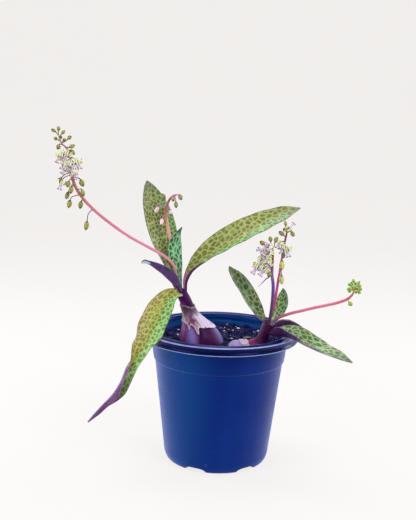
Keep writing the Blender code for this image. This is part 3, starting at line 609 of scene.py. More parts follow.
def make_bulb_1():
    rows, cols = 150, 144
    zs = np.concatenate([np.linspace(65.0, 78.0, 18), np.linspace(78.4, 115.4, rows - 18)])
    seams = [(-1.62, 0.012, 80.0, 101.0), (0.55, -0.02, 79.0, 104.0), (2.35, 0.018, 78.0, 106.0), (-2.75, -0.01, 79.0, 100.0)]
    pts, h, seam_v, lit_v, ang_v, lilac_v = [], [], [], [], [], []
    for z in zs:
        for j in range(cols):
            a = 2 * math.pi * j / cols - math.pi
            grow, seam = 0.0, 0.0
            for a0, slope, lo, hi in seams:
                g = angle_gap(a, a0 + slope * (z - 80.0) + 0.10 * wob(z, a0 * 9, 0, scale=0.18))
                on = float(smoothstep(z, lo - 3, lo) * (1 - smoothstep(z, hi - 3, hi)))
                # the outer scale laps over the next one with a small step
                grow += 0.42 * on * float(smoothstep(g, -0.02, 0.03)) * (1 - float(smoothstep(g, 0.05, 0.9)))
                seam = max(seam, on * math.exp(-(g / 0.035) ** 2))
            grow += 0.10 * wob(math.cos(a) * 6, math.sin(a) * 6, z * 0.12) + 0.05 * wob(math.cos(a) * 22, math.sin(a) * 22, z * 0.05)
            top = 1 - float(smoothstep(z, 113.4, 115.4)) * 0.35
            p = bulb_1_at(min(z, 115.4), a, grow)
            if top < 1:
                c = bulb_1_at(z, 0, 0)
                cx = c[0] - np.interp(min(z, 113.2), _zf, _fine[:, 3])
                p[0] = cx + (p[0] - cx) * top
                p[1] = -10.0 + (p[1] + 10.0) * top
            pts.append(p)
            h.append((z - 65.0) / 50.0)
            seam_v.append(seam)
            # painted light: left of the front seam the scale is painted brighter, right of it darker
            left = float(smoothstep(-angle_gap(a, -1.62), 0.02, 0.10)) * (1 - float(smoothstep(-angle_gap(a, -1.62), 1.9, 2.5)))
            lit_v.append(left)
            ang_v.append(math.cos(a) * 0.5 + a * 0.5)
            # painted highlights: three lilac patches round the bulb's sides
            hi1 = math.exp(-((angle_gap(a, -2.02) / 0.26) ** 2)) * float(smoothstep(z, 80, 84)) * (1 - float(smoothstep(z, 90, 95)))
            hi2 = math.exp(-((angle_gap(a, -0.12) / 0.42) ** 2)) * float(smoothstep(z, 78, 83)) * (1 - float(smoothstep(z, 90, 94))) * 0.6
            hi3 = math.exp(-((angle_gap(a, 3.05) / 0.30) ** 2)) * float(smoothstep(z, 79, 84)) * (1 - float(smoothstep(z, 91, 96))) * 0.7
            lilac_v.append(min(1.0, hi1 + hi2 + hi3))
    shape = Shape("h", "seam", "lit", "ang", "lilac")
    shape.add(pts, grid_faces(rows, cols), 0, h=h, seam=seam_v, lit=lit_v, ang=ang_v, lilac=lilac_v)
    settle(shape.build("bulb_large", [bulb_1_material()]), "bulb_1_skin", "bulb_1")


def paper_sleeve(shape, low, high, a_from, a_to, cols, rows, base, thick=0.28, flare=0.7, seed=1.0):
    """Thin torn paper wrapped on the big bulb between two ragged edges."""
    loop = a_to - a_from > 2 * math.pi - 1e-6
    angles = np.linspace(a_from, a_to, cols, endpoint=not loop)
    outer, inner, h, ang, edge, dirt, zone = [], [], [], [], [], [], []
    for i in range(rows):
        f = i / (rows - 1)
        for a in angles:
            lo = low(a) + 0.75 * wob(math.cos(a) * 9, math.sin(a) * 9, seed) + 0.5 * wob(math.cos(a) * 24, math.sin(a) * 24, seed + 3)
            hi = high(a) + 0.6 * wob(math.cos(a) * 8, math.sin(a) * 8, seed + 6) + 0.5 * wob(math.cos(a) * 22, math.sin(a) * 22, seed + 9)
            z = lo + (hi - lo) * f
            lift = base + flare * (1 - float(smoothstep(f, 0.0, 0.22))) * (0.55 + 0.45 * wob(math.cos(a) * 5, math.sin(a) * 5, seed + 2))
            lift += 0.35 * (float(smoothstep(f, 0.86, 1.0))) * (0.6 + 0.4 * wob(math.cos(a) * 7, math.sin(a) * 7, seed + 5))
            lift += 0.13 * wob(math.cos(a) * 14, math.sin(a) * 14, z * 0.25 + seed) + 0.06 * wob(math.cos(a) * 40, math.sin(a) * 40, z * 0.1)
            outer.append(bulb_1_at(z, a, lift + thick))
            inner.append(bulb_1_at(z, a, max(lift, 0.12)))
            h.append((z - 65.0) / 50.0)
            ang.append(math.cos(a) * 0.5 + a * 0.5)
            edge.append(max(math.exp(-(f / 0.06) ** 2), 0.5 * math.exp(-((1 - f) / 0.05) ** 2)))
            dirt.append(float(smoothstep(z, 100.5, 103.5)) * 0.9)
            zone.append(float(smoothstep(angle_gap(a, -1.62) + 0.03 * (z - 96.0), -0.08, 0.10)) * (1 - float(smoothstep(angle_gap(a, 1.9), 0.0, 0.3))))
    n = rows * cols
    faces = []
    span = cols if loop else cols - 1
    for i in range(rows - 1):
        for j in range(span):
            k = (j + 1) % cols
            faces.append((i * cols + j, i * cols + k, (i + 1) * cols + k, (i + 1) * cols + j))
            faces.append((n + i * cols + j, n + (i + 1) * cols + j, n + (i + 1) * cols + k, n + i * cols + k))
    for j in range(span):
        k = (j + 1) % cols
        faces.append((j, n + j, n + k, k))
        b = (rows - 1) * cols
        faces.append((b + j, b + k, n + b + k, n + b + j))
    if not loop:
        for i in range(rows - 1):
            faces.append((i * cols, (i + 1) * cols, n + (i + 1) * cols, n + i * cols))
            e = cols - 1
            faces.append((i * cols + e, n + i * cols + e, n + (i + 1) * cols + e, (i + 1) * cols + e))
    shape.add(outer + inner, faces, 0, h=h * 2, ang=ang * 2, edge=edge * 2, dirt=dirt * 2, zone=zone * 2)


def make_tunic_1():
    shape = Shape("h", "ang", "edge", "dirt", "zone")

    def low(a):
        tongue = 4.2 * math.exp(-(angle_gap(a, -1.60) / 0.10) ** 2)
        curl = 3.4 * math.exp(-(angle_gap(a, -2.06) / 0.07) ** 2)
        return 92.9 - 1.8 * math.cos(a) - tongue - curl

    def high(a):
        return 104.6 + 0.5 * math.sin(3 * a + 1.0)

    paper_sleeve(shape, low, high, -math.pi, math.pi, 168, 34, 0.42, flare=0.75, seed=1.7)
    mat = paper_material("bulb_1_tunic", rgb(238, 230, 246), rgb(206, 190, 218), rgb(156, 126, 164), rgb(168, 130, 180), zoned=True)
    settle(shape.build("bulb_large_tunic", [mat]), "bulb_1_tunic", "bulb_1_tunic")


def bulb_2_rings(sides, count, grow_of):
    s, _, _ = hermite([(x, y, z, r) for x, y, z, r in BULB_2], count)
    t, us, vs = frames(s[:, :3])
    out = []
    for i in range(count):
        f = 1.33 * i / (count - 1)
        ring = []
        for j in range(sides):
            a = 2 * math.pi * j / sides
            r = s[i, 3] + grow_of(f, a)
            ring.append(s[i, :3] + r * (math.cos(a) * us[i] + math.sin(a) * vs[i]))
        out.append(ring)
    return np.array(out)


def make_bulb_2():
    sides, count = 72, 120

    def grow(f, a):
        g = 0.09 * wob(math.cos(a) * 5, math.sin(a) * 5, f * 9) + 0.05 * wob(math.cos(a) * 18, math.sin(a) * 18, f * 4)
        step = 0.35 * float(smoothstep(f, 0.60, 0.615)) * (1 - float(smoothstep(f, 0.615, 0.8)))
        return g + 0.25 - step

    rings = bulb_2_rings(sides, count, grow)
    f = np.repeat(1.33 * np.arange(count) / (count - 1), sides)
    a = np.tile(2 * math.pi * np.arange(sides) / sides, count)
    shape = Shape("h", "ang", "up")
    shape.add(rings.reshape(-1, 3), grid_faces(count, sides), 0, h=f, ang=np.sin(a) + a * 0.3, up=np.cos(a) * 0.5 + 0.5)
    n = Nodes("bulb_2_skin")
    h, ang = n.attr("h"), n.attr("ang")
    fibre = n.noise(n.vec(n.math('MULTIPLY', h, 2.0), 0.0, n.math('MULTIPLY', ang, 7.0)), 3.0, 4.0, 0.6)
    jag = n.math('ADD', h, n.math('MULTIPLY', n.math('SUBTRACT', fibre, 0.5), 0.05))
    pale = n.mix(fibre, rgb(132, 100, 164), rgb(188, 168, 218))
    tan = n.mix(fibre, rgb(196, 160, 150), rgb(222, 200, 184))
    mag = n.mix(fibre, rgb(104, 14, 76), rgb(150, 44, 112))
    dark = n.mix(fibre, rgb(34, 2, 40), rgb(78, 12, 62))
    col = n.mix(n.step(jag, 0.44, 0.48), pale, tan)
    col = n.mix(n.step(jag, 0.575, 0.60), col, mag)
    col = n.mix(n.step(jag, 0.68, 0.82), col, dark)
    nrm = n.bump(fibre, 0.3, 0.5)
    mat = n.surface(col, n.step(fibre, 0.3, 0.7, 0.3, 0.45), nrm, Specular_IOR_Level=0.34, Specular_Tint=rgb(190, 160, 240),
                    Coat_Weight=0.05, Coat_Roughness=0.2)
    settle(shape.build("bulb_small", [mat]), "bulb_2_skin", "bulb_2")


def make_tunic_2():
    sides, count = 72, 129
    out = bulb_2_rings(sides, count, lambda f, a: 0.86 + 0.10 * wob(math.cos(a) * 12, math.sin(a) * 12, f * 8))
    inn = bulb_2_rings(sides, count, lambda f, a: 0.60 + 0.10 * wob(math.cos(a) * 12, math.sin(a) * 12, f * 8))
    half = 10
    order = list(range(-half, half + 1))
    i0, i1 = 40, 58
    rows = i1 - i0 + 1
    cols = len(order)
    o_pts, i_pts, h, ang, edge = [], [], [], [], []
    for r, i in enumerate(range(i0, i1 + 1)):
        for c, j in enumerate(order):
            # ragged outline: pull the border points in by a varying amount
            u, v = 2 * r / (rows - 1) - 1, 2 * c / (cols - 1) - 1
            k = 1.0 + 0.10 * wob(u * 3, v * 3, 2.0) + 0.06 * wob(u * 9, v * 9, 5.0)
            rr = np.clip((r - rows / 2) * min(k, 1.08) + rows / 2, 0, rows - 1) + i0
            ii, ff = int(math.floor(rr)), rr - math.floor(rr)
            jj = j * (1.0 - 0.25 * abs(u) ** 3)
            j0, g = int(math.floor(jj)), jj - math.floor(jj)

            def pick(arr):
                a0 = arr[min(ii, count - 1)][j0 % sides] * (1 - g) + arr[min(ii, count - 1)][(j0 + 1) % sides] * g
                a1 = arr[min(ii + 1, count - 1)][j0 % sides] * (1 - g) + arr[min(ii + 1, count - 1)][(j0 + 1) % sides] * g
                return a0 * (1 - ff) + a1 * ff
            o_pts.append(pick(out))
            i_pts.append(pick(inn))
            h.append(r / rows)
            ang.append(c / cols)
            edge.append(max(abs(u), abs(v)) ** 8)
    n = rows * cols
    faces = []
    for r in range(rows - 1):
        for c in range(cols - 1):
            a, b = r * cols + c, (r + 1) * cols + c
            faces.append((a, a + 1, b + 1, b))
            faces.append((n + a, n + b, n + b + 1, n + a + 1))
    for c in range(cols - 1):
        faces.append((c, n + c, n + c + 1, c + 1))
        b = (rows - 1) * cols + c
        faces.append((b, b + 1, n + b + 1, n + b))
    for r in range(rows - 1):
        a = r * cols
        faces.append((a, a + cols, n + a + cols, n + a))
        e = r * cols + cols - 1
        faces.append((e, n + e, n + e + cols, e + cols))
    shape = Shape("h", "ang", "edge", "dirt")
    shape.add(o_pts + i_pts, faces, 0, h=h * 2, ang=ang * 2, edge=edge * 2, dirt=0.0)
    mat = paper_material("bulb_2_tunic", rgb(232, 224, 246), rgb(188, 170, 206), rgb(136, 100, 150), rgb(196, 164, 150))
    settle(shape.build("bulb_small_tunic", [mat]), "bulb_2_tunic", "bulb_2_tunic")


# ===========================================================================
# potting mix
# ===========================================================================
SOIL_LEVEL = 80.6


def soil_height(x, y):
    z = SOIL_LEVEL + 0.45 * math.sin(x * 0.23 + 0.8) * math.cos(y * 0.19 - 0.4) + 0.25 * math.sin(x * 0.41 - y * 0.37)
    return z


def soil_material():
    n = Nodes("potting_mix")
    o = n.obj()
    tone = n.attr("tone")
    kind = n.attr("kind")
    grain = n.noise(o, 900.0, 4.0, 0.65)
    # the last stop of the tone ramp is a painted blue-white glint on a few granules
    col = n.ramp(tone, [(0.0, rgb(5, 8, 40)), (0.35, rgb(10, 14, 62)), (0.6, rgb(20, 26, 84)), (0.8, rgb(34, 38, 104)), (0.93, rgb(58, 44, 80)), (1.0, rgb(110, 112, 190))])
    col = n.mix(n.math('MULTIPLY', grain, 0.6), col, rgb(5, 8, 42))
    col = n.mix(n.step(kind, 0.4, 0.6), col, n.mix(grain, rgb(206, 200, 226), rgb(238, 236, 246)))
    col = n.mix(n.step(kind, 1.4, 1.6), col, n.mix(grain, rgb(150, 112, 92), rgb(206, 178, 150)))
    nrm = n.bump(grain, 0.4, 0.9)
    rough = n.step(n.noise(o, 300.0, 2.0), 0.35, 0.65, 0.45, 0.85)
    return n.surface(col, rough, nrm, Specular_IOR_Level=0.32, Specular_Tint=rgb(84, 104, 255))


def icosphere():
    t = (1 + 5 ** 0.5) / 2
    v = [(-1, t, 0), (1, t, 0), (-1, -t, 0), (1, -t, 0), (0, -1, t), (0, 1, t), (0, -1, -t), (0, 1, -t), (t, 0, -1), (t, 0, 1), (-t, 0, -1), (-t, 0, 1)]
    f = [(0, 11, 5), (0, 5, 1), (0, 1, 7), (0, 7, 10), (0, 10, 11), (1, 5, 9), (5, 11, 4), (11, 10, 2), (10, 7, 6), (7, 1, 8),
         (3, 9, 4), (3, 4, 2), (3, 2, 6), (3, 6, 8), (3, 8, 9), (4, 9, 5), (2, 4, 11), (6, 2, 10), (8, 6, 7), (9, 8, 1)]
    v = [list(unit(p)) for p in v]
    mid = {}
    out = []

    def m(a, b):
        key = (min(a, b), max(a, b))
        if key not in mid:
            v.append(list(unit((np.array(v[a]) + np.array(v[b])) / 2)))
            mid[key] = len(v) - 1
        return mid[key]
    for a, b, c in f:
        ab, bc, ca = m(a, b), m(b, c), m(c, a)
        out += [(a, ab, ca), (b, bc, ab), (c, ca, bc), (ab, bc, ca)]
    return np.array(v), out


def make_soil():
    rng = np.random.default_rng(7)
    shape = Shape("tone", "kind")
    # body: a fine top surface on a plain tapered plug
    gap = 0.35
    wall = WALL + gap
    top_r = 43.6 - wall
    rings, sides = 70, 160
    pts, tone = [], []
    for i in range(rings):
        r = top_r * (i + 1) / rings
        for j in range(sides):
            a = 2 * math.pi * j / sides
            x, y = r * math.cos(a), r * math.sin(a)
            z = soil_height(x, y) + 0.55 * wob(x, y, 0, scale=0.55) + 0.35 * wob(x, y, 0, scale=1.3, seed=4) - 0.45
            pts.append((x, y, z))
            tone.append(0.25 + 0.25 * wob(x, y, 0, scale=0.4, seed=2))
    for r, z in [(44.45 - wall, 78.6), (44.1 - wall, 73.5), (COLLAR_R - wall, 69.2), (BODY_TOP_R - wall, 67.2),
                 (body_radius(38.0) - wall, 38.0), (body_radius(8.0) - wall, 8.0), (32.5, 3.7), (30.9, 1.6)]:
        for j in range(sides):
            a = 2 * math.pi * j / sides
            pts.append((r * math.cos(a), r * math.sin(a), z))
            tone.append(0.2)
    rows = rings + 8
    centre_top, centre_low = len(pts), len(pts) + 1
    pts += [(0, 0, soil_height(0, 0) - 0.3), (0, 0, 1.6)]
    tone += [0.2, 0.2]
    faces = grid_faces(rows, sides, close_ends=False)
    faces = [tuple(reversed(q)) for q in faces]
    for j in range(sides):
        k = (j + 1) % sides
        faces.append((centre_top, j, k))
        b = (rows - 1) * sides
        faces.append((centre_low, b + k, b + j))
    shape.add(pts, faces, 0, tone=tone, kind=0.0)

    # granules: bark bits and grit, some pale
    base_v, base_f = icosphere()
    count = 1500
    made = 0
    while made < count:
        a, r = rng.uniform(0, 2 * math.pi), 42.0 * math.sqrt(rng.uniform(0, 1))
        x, y = r * math.cos(a), r * math.sin(a)
        if math.hypot(x + 11.6, y + 10.0) < 14.6 or (5.0 < x < 30 and abs(y + 15.6) < 5.5):
            continue
        made += 1
        size = 0.35 + 0.95 * rng.random() ** 2.2
        if made % 9 == 0:
            size *= 1.6
        ax = size * np.array((rng.uniform(0.7, 1.7), rng.uniform(0.6, 1.1), rng.uniform(0.35, 0.8)))
        pale = rng.random()
        kind = 1.0 if pale < 0.05 else (2.0 if pale > 0.985 else 0.0)
        if kind == 1.0:
            ax *= 0.6
        yaw, tilt = rng.uniform(0, 2 * math.pi), rng.normal(0, 0.35)
        rot = np.array(Matrix.Rotation(yaw, 3, 'Z') @ Matrix.Rotation(tilt, 3, 'X'))
        v = base_v.copy()
        bumps = np.array([1 + 0.33 * wob(*(p * 1.9 + made * 3.7)) for p in v])
        v = (v * bumps[:, None] * ax) @ rot.T
        z = soil_height(x, y) + 0.55 * wob(x, y, 0, scale=0.55) - 0.35 + 0.2 * ax[2]
        z = min(z, 82.6)
        shape.add(v + (x, y, z), base_f, 0, tone=rng.uniform(0.0, 1.0) ** 1.6, kind=kind)
    # particular bits: white grit, a long tan chip, fine brown roots
    for x, y, s in [(13.4, 26.0, 0.9), (27.0, 22.0, 0.7), (32.0, 8.0, 0.8), (8.0, -2.0, 0.7), (3.5, 20.0, 0.6), (-28.0, 18.0, 0.6)]:
        v = base_v * np.array((1.2, 0.9, 0.7)) * s * np.array([[1 + 0.3 * wob(*(p * 2 + x))] for p in base_v])
        shape.add(v + (x, y, soil_height(x, y) + 0.6), base_f, 0, tone=1.0, kind=1.0)
    v = base_v * np.array((3.0, 0.7, 0.5))
    v = v * np.array([[1 + 0.2 * wob(*(p * 2.4))] for p in base_v])
    shape.add(v + (18.5, 3.0, soil_height(18.5, 3.0) + 0.7), base_f, 0, tone=1.0, kind=2.0)
    for k in range(26):
        a, r = rng.uniform(0, 2 * math.pi), rng.uniform(17, 40)
        x, y = r * math.cos(a), r * math.sin(a)
        if math.hypot(x + 11.6, y + 10.0) < 15.5 or (4.0 < x < 30 and abs(y + 15.6) < 7):
            continue
        yaw, bend = rng.uniform(0, 2 * math.pi), rng.normal(0, 0.5)
        line = []
        for s in np.linspace(0, 1, 8):
            L = rng.uniform(0.9, 1.0) * 6.5 * s
            px, py = x + L * math.cos(yaw + bend * s), y + L * math.sin(yaw + bend * s)
            if math.hypot(px, py) > 41.5:
                break
            line.append((px, py, soil_height(px, py) + 0.35 + 0.35 * math.sin(3.1 * s)))
        if len(line) > 3:
            tube(shape, line, 0.16, 5, 0, tone=0.9, kind=0.0)
    settle(shape.build("potting_mix_surface", [soil_material()], flat_angle=50), "potting_mix", "potting_mix")


# ===========================================================================
# leaves
# ===========================================================================
# midrib x, y, z; half width; direction across; fold of each half, degrees
LEAVES = {
    "leaf_drooping": [
        (-25.9, -15.9, 112.3, 0.9, 0.10, -0.25, -0.96, 0),
        (-30.0, -17.2, 112.7, 4.5, 0.28, -0.55, -0.79, -4),
        (-34.8, -19.2, 110.8, 7.6, 0.62, -0.64, -0.45, -7),
        (-38.3, -22.2, 106.4, 8.9, 0.84, -0.50, -0.20, -9),
        (-43.2, -29.5, 96.0, 9.5, 0.91, -0.38, -0.15, -10),
        (-44.8, -33.2, 90.1, 8.9, 0.88, -0.47, -0.12, -6),
        (-47.9, -36.6, 83.8, 6.5, 0.88, -0.40, -0.14, 8),
        (-52.1, -39.4, 77.2, 5.3, 0.78, 0.22, -0.50, 40),
        (-56.5, -42.0, 70.8, 5.7, 0.50, 0.68, -0.53, 54),
        (-59.1, -44.6, 63.9, 5.4, 0.36, 0.81, -0.46, 58),
        (-62.4, -46.6, 57.7, 5.4, 0.28, 0.86, -0.44, 62),
        (-65.1, -47.7, 54.0, 4.0, 0.25, 0.85, -0.46, 74),
        (-68.2, -48.6, 50.9, 2.8, 0.23, 0.84, -0.48, 78),
        (-73.4, -50.4, 45.5, 2.2, 0.25, 0.85, -0.46, 74),
        (-78.9, -51.6, 39.0, 0.45, 0.28, 0.86, -0.41, 40),
    ],
    "leaf_upright": [
        (-28.3, -7.6, 113.9, 1.2, -0.88, -0.46, 0.0, 10),
        (-29.6, -6.5, 122.1, 2.3, -0.88, -0.44, -0.2, 10),
        (-33.5, -5.8, 131.7, 5.4, -0.84, -0.50, -0.2, 10),
        (-36.4, -4.5, 140.6, 8.2, -0.86, -0.46, -0.2, 12),
        (-39.0, -3.1, 149.5, 9.4, -0.90, -0.36, -0.25, 10),
        (-41.8, -1.6, 159.0, 9.3, -0.91, -0.30, -0.28, 8),
        (-45.1, 0.0, 168.2, 8.0, -0.90, -0.34, -0.25, 8),
        (-47.7, 1.6, 175.7, 5.5, -0.90, -0.36, -0.23, 6),
        (-49.6, 2.8, 180.6, 2.8, -0.88, -0.42, -0.18, 4),
        (-50.5, 3.5, 183.3, 0.45, -0.88, -0.42, -0.18, 0),
    ],
    "leaf_folded": [
        (-26.2, -9.8, 113.8, 1.1, -0.99, 0.0, -0.05, 15),
        (-27.6, -10.0, 122.9, 2.2, -0.99, 0.0, -0.12, 30),
        (-29.1, -10.0, 130.6, 4.2, -0.99, 0.02, -0.15, 35),
        (-30.3, -10.1, 137.7, 5.4, -1.00, 0.05, -0.08, 36),
        (-30.5, -10.4, 143.9, 5.2, -1.00, 0.0, 0.07, 38),
        (-29.5, -10.9, 148.9, 3.4, -0.96, -0.05, 0.25, 42),
        (-28.1, -11.6, 152.6, 1.6, -0.92, -0.08, 0.36, 42),
        (-26.5, -12.4, 155.2, 0.45, -0.88, 0.0, 0.45, 40),
    ],
    "leaf_curled": [
        (-26.7, -14.0, 114.8, 1.0, 0.30, -0.95, 0.10, 82),
        (-29.3, -15.4, 118.1, 3.6, 0.28, -0.95, 0.12, 85),
        (-34.0, -16.8, 123.1, 5.2, 0.28, -0.95, 0.10, 82),
        (-38.5, -17.2, 127.1, 4.6, 0.28, -0.95, 0.08, 72),
        (-43.0, -18.2, 130.4, 3.2, 0.26, -0.96, 0.08, 70),
        (-46.7, -18.9, 132.5, 1.9, 0.20, -0.97, 0.06, 66),
        (-49.6, -19.2, 133.2, 1.5, 0.10, -0.93, 0.36, 62),
        (-51.2, -19.4, 132.6, 0.45, 0.10, -0.90, 0.42, 50),
    ],
    "leaf_young": [
        (-29.1, -9.9, 113.8, 0.8, -0.80, -0.60, 0.0, 25),
        (-31.2, -11.4, 119.2, 1.3, -0.83, -0.48, -0.20, 30),
        (-33.0, -12.5, 124.6, 1.4, -0.85, -0.35, -0.30, 30),
        (-34.6, -12.9, 129.6, 1.2, -0.85, -0.25, -0.45, 26),
        (-35.9, -13.0, 132.2, 0.8, -0.80, -0.25, -0.50, 22),
        (-36.9, -13.0, 134.2, 0.40, -0.80, -0.25, -0.50, 15),
    ],
    "leaf_broad": [
        (-23.3, -10.9, 113.8, 1.2, -1.00, 0.0, 0.0, 15),
        (-23.3, -10.3, 120.8, 1.7, -0.97, -0.05, 0.16, 22),
        (-21.0, -9.8, 127.0, 3.0, -0.82, 0.12, 0.54, 40),
        (-16.3, -8.9, 132.4, 5.6, -0.66, 0.38, 0.66, 46),
        (-8.6, -7.7, 138.3, 7.9, -0.53, 0.58, 0.60, 36),
        (1.3, -6.2, 145.2, 9.0, -0.49, 0.62, 0.61, 29),
        (11.8, -4.6, 151.6, 9.2, -0.46, 0.66, 0.60, 23),
        (22.6, -2.8, 157.3, 8.7, -0.43, 0.70, 0.58, 18),
        (31.9, -1.0, 162.1, 7.4, -0.41, 0.72, 0.56, 11),
        (40.0, 0.8, 165.8, 5.4, -0.39, 0.72, 0.57, 5),
        (45.6, 2.0, 167.7, 2.9, -0.36, 0.73, 0.57, 2),
        (49.8, 3.0, 168.7, 0.45, -0.35, 0.73, 0.58, 0),
    ],
    "leaf_left": [
        (28.7, -12.5, 95.7, 1.4, -0.80, -0.58, -0.05, 20),
        (27.2, -11.5, 96.9, 2.9, -0.79, -0.60, -0.12, 28),
        (25.1, -10.4, 98.6, 4.3, -0.78, -0.60, -0.18, 34),
        (21.4, -8.7, 103.4, 6.0, -0.75, -0.60, -0.27, 38),
        (17.3, -6.7, 109.5, 6.8, -0.74, -0.61, -0.28, 38),
        (13.0, -4.3, 115.8, 6.8, -0.74, -0.62, -0.26, 37),
        (9.0, -1.9, 121.5, 5.7, -0.75, -0.62, -0.23, 36),
        (6.2, 0.0, 125.9, 3.3, -0.78, -0.60, -0.18, 30),
        (4.9, 1.3, 129.1, 0.45, -0.76, -0.64, -0.05, 10),
    ],
    "leaf_inner": [
        (32.0, -10.1, 95.8, 1.1, -0.97, 0.0, 0.1, 14),
        (33.2, -8.6, 96.8, 2.3, -0.94, -0.10, 0.26, 18),
        (35.1, -7.1, 98.9, 4.1, -0.88, -0.22, 0.40, 20),
        (37.4, -6.4, 103.8, 5.2, -0.88, -0.26, 0.36, 24),
        (39.4, -5.9, 109.3, 4.9, -0.94, -0.12, 0.28, 38),
        (40.3, -5.6, 113.8, 2.7, -0.97, 0.0, 0.12, 34),
        (40.3, -5.4, 116.7, 0.45, -0.99, 0.0, 0.0, 30),
    ],
    "leaf_arching": [
        (32.4, -16.0, 88.4, 1.6, 0.55, 0.72, -0.35, 44),
        (34.4, -17.5, 88.5, 3.9, 0.58, 0.76, -0.20, 60),
        (38.2, -20.2, 89.1, 6.1, 0.60, 0.79, -0.02, 62),
        (43.2, -23.9, 89.4, 7.7, 0.62, 0.75, 0.14, 54),
        (48.8, -28.4, 88.2, 8.7, 0.61, 0.74, 0.22, 46),
        (55.2, -33.0, 86.0, 8.8, 0.58, 0.80, 0.12, 33),
        (61.8, -37.5, 84.3, 8.0, 0.55, 0.83, 0.08, 25),
        (68.6, -41.8, 83.0, 6.2, 0.53, 0.83, 0.12, 21),
        (74.8, -45.5, 81.8, 3.7, 0.53, 0.83, 0.16, 18),
        (79.8, -48.3, 80.6, 0.45, 0.52, 0.82, 0.20, 10),
    ],
    "leaf_short": [
        (34.5, -13.3, 91.6, 2.0, 0.16, 0.98, -0.05, 70),
        (36.4, -13.4, 92.1, 3.9, 0.10, 0.99, -0.03, 73),
        (39.3, -13.4, 92.8, 4.8, 0.06, 0.99, 0.0, 78),
        (44.1, -13.3, 93.7, 4.2, 0.02, 0.99, 0.06, 76),
        (48.6, -13.1, 93.6, 2.4, 0.03, 0.97, 0.12, 74),
        (53.2, -13.0, 92.6, 0.45, 0.05, 0.96, 0.14, 60),
    ],
}

# cell: size of a spot in mm; stretch: spot length over width; net: width of
# the pale network; mint_at/mint_dir: where across the blade it turns mint
LOOKS = {
    "leaf_drooping": dict(shade=(52, 46, 24), cell=2.5, stretch=1.25, net=0.19, spot=(112, 116, 6), spot2=(122, 112, 30), pale=(172, 180, 86),
                          mint=(156, 210, 134), mint_dir=1, mint_at=0.16, rim=(96, 92, 50), base_end=0.0, base=(120, 60, 90),
                          under=(96, 36, 106), under2=(60, 18, 74), brown=0.5, spot3=(84, 132, 30)),
    "leaf_upright": dict(cell=2.2, stretch=1.25, net=0.2, spot=(88, 98, 16), spot2=(80, 92, 36), pale=(160, 176, 104),
                         mint=(130, 182, 118), mint_dir=-1, mint_at=0.45, rim=(78, 86, 76), base_end=0.10, base=(96, 66, 70),
                         under=(96, 44, 110), under2=(70, 30, 84), brown=0.10, spot3=(72, 106, 40)),
    "leaf_folded": dict(cell=2.7, stretch=1.5, net=0.19, spot=(24, 84, 34), spot2=(44, 96, 26), pale=(156, 214, 158),
                        mint=(168, 228, 180), mint_dir=-1, mint_at=-0.3, rim=(24, 70, 50), base_end=0.14, base=(50, 100, 80),
                        under=(40, 92, 56), under2=(30, 70, 44), brown=0.0, spot3=(24, 80, 44)),
    "leaf_curled": dict(cell=3.2, stretch=1.5, net=0.10, spot=(52, 22, 84), spot2=(40, 16, 70), pale=(70, 36, 110),
                        mint=(120, 100, 150), mint_dir=1, mint_at=2.0, tip=(176, 196, 206), rim=(120, 108, 176), base_end=0.0, base=(60, 20, 80),
                        under=(78, 38, 100), under2=(46, 18, 70), brown=0.0),
    "leaf_young": dict(cell=1.5, stretch=1.3, net=0.14, spot=(186, 192, 50), spot2=(120, 112, 20), pale=(228, 230, 140),
                       mint=(110, 150, 170), mint_dir=1, mint_at=0.3, rim=(86, 110, 130), base_end=0.0, base=(96, 40, 90),
                       under=(96, 60, 110), under2=(70, 40, 90), brown=0.0, spot3=(70, 110, 120)),
    "leaf_broad": dict(cell=2.9, stretch=1.3, net=0.21, spot=(120, 124, 10), spot2=(96, 108, 24), pale=(172, 182, 116),
                       mint=(138, 190, 122), mint_dir=-1, mint_at=0.3, hem=(4.6, -0.45, 0.27), rim=(70, 74, 44), base_end=0.16, base=(176, 92, 132),
                       under=(90, 22, 100), under2=(56, 14, 70), brown=0.08, spot3=(70, 116, 34)),
    "leaf_left": dict(hem=(1.6, 0.42, 0.4), cell=2.8, stretch=1.45, net=0.2, spot=(54, 84, 30), spot2=(84, 94, 28), pale=(146, 174, 126),
                      mint=(134, 186, 148), mint_dir=1, mint_at=0.5, rim=(50, 78, 56), base_end=0.08, base=(130, 110, 100),
                      under=(100, 34, 108), under2=(66, 22, 78), brown=0.12, spot3=(44, 84, 52)),
    "leaf_inner": dict(cell=2.0, stretch=1.5, net=0.21, spot=(46, 66, 16), spot2=(70, 96, 24), pale=(172, 202, 134),
                       mint=(164, 208, 152), mint_dir=-1, mint_at=0.0, rim=(50, 74, 50), base_end=0.12, base=(150, 146, 50),
                       under=(104, 44, 110), under2=(72, 30, 84), brown=0.0, spot3=(44, 78, 30)),
    "leaf_arching": dict(cell=2.2, stretch=1.9, net=0.21, spot=(52, 86, 26), spot2=(88, 98, 22), pale=(150, 184, 132),
                         mint=(164, 210, 162), mint_dir=-1, mint_at=0.2, rim=(120, 134, 150), base_end=0.05, base=(80, 30, 80),
                         under=(78, 24, 88), under2=(44, 12, 56), brown=0.1, spot3=(48, 92, 44)),
    "leaf_short": dict(cell=2.4, stretch=1.6, net=0.20, spot=(44, 78, 50), spot2=(76, 88, 40), pale=(156, 196, 156),
                       mint=(156, 204, 168), mint_dir=1, mint_at=0.2, rim=(196, 184, 170), base_end=0.03, base=(80, 30, 80),
                       under=(74, 22, 78), under2=(40, 12, 50), brown=0.0),
}


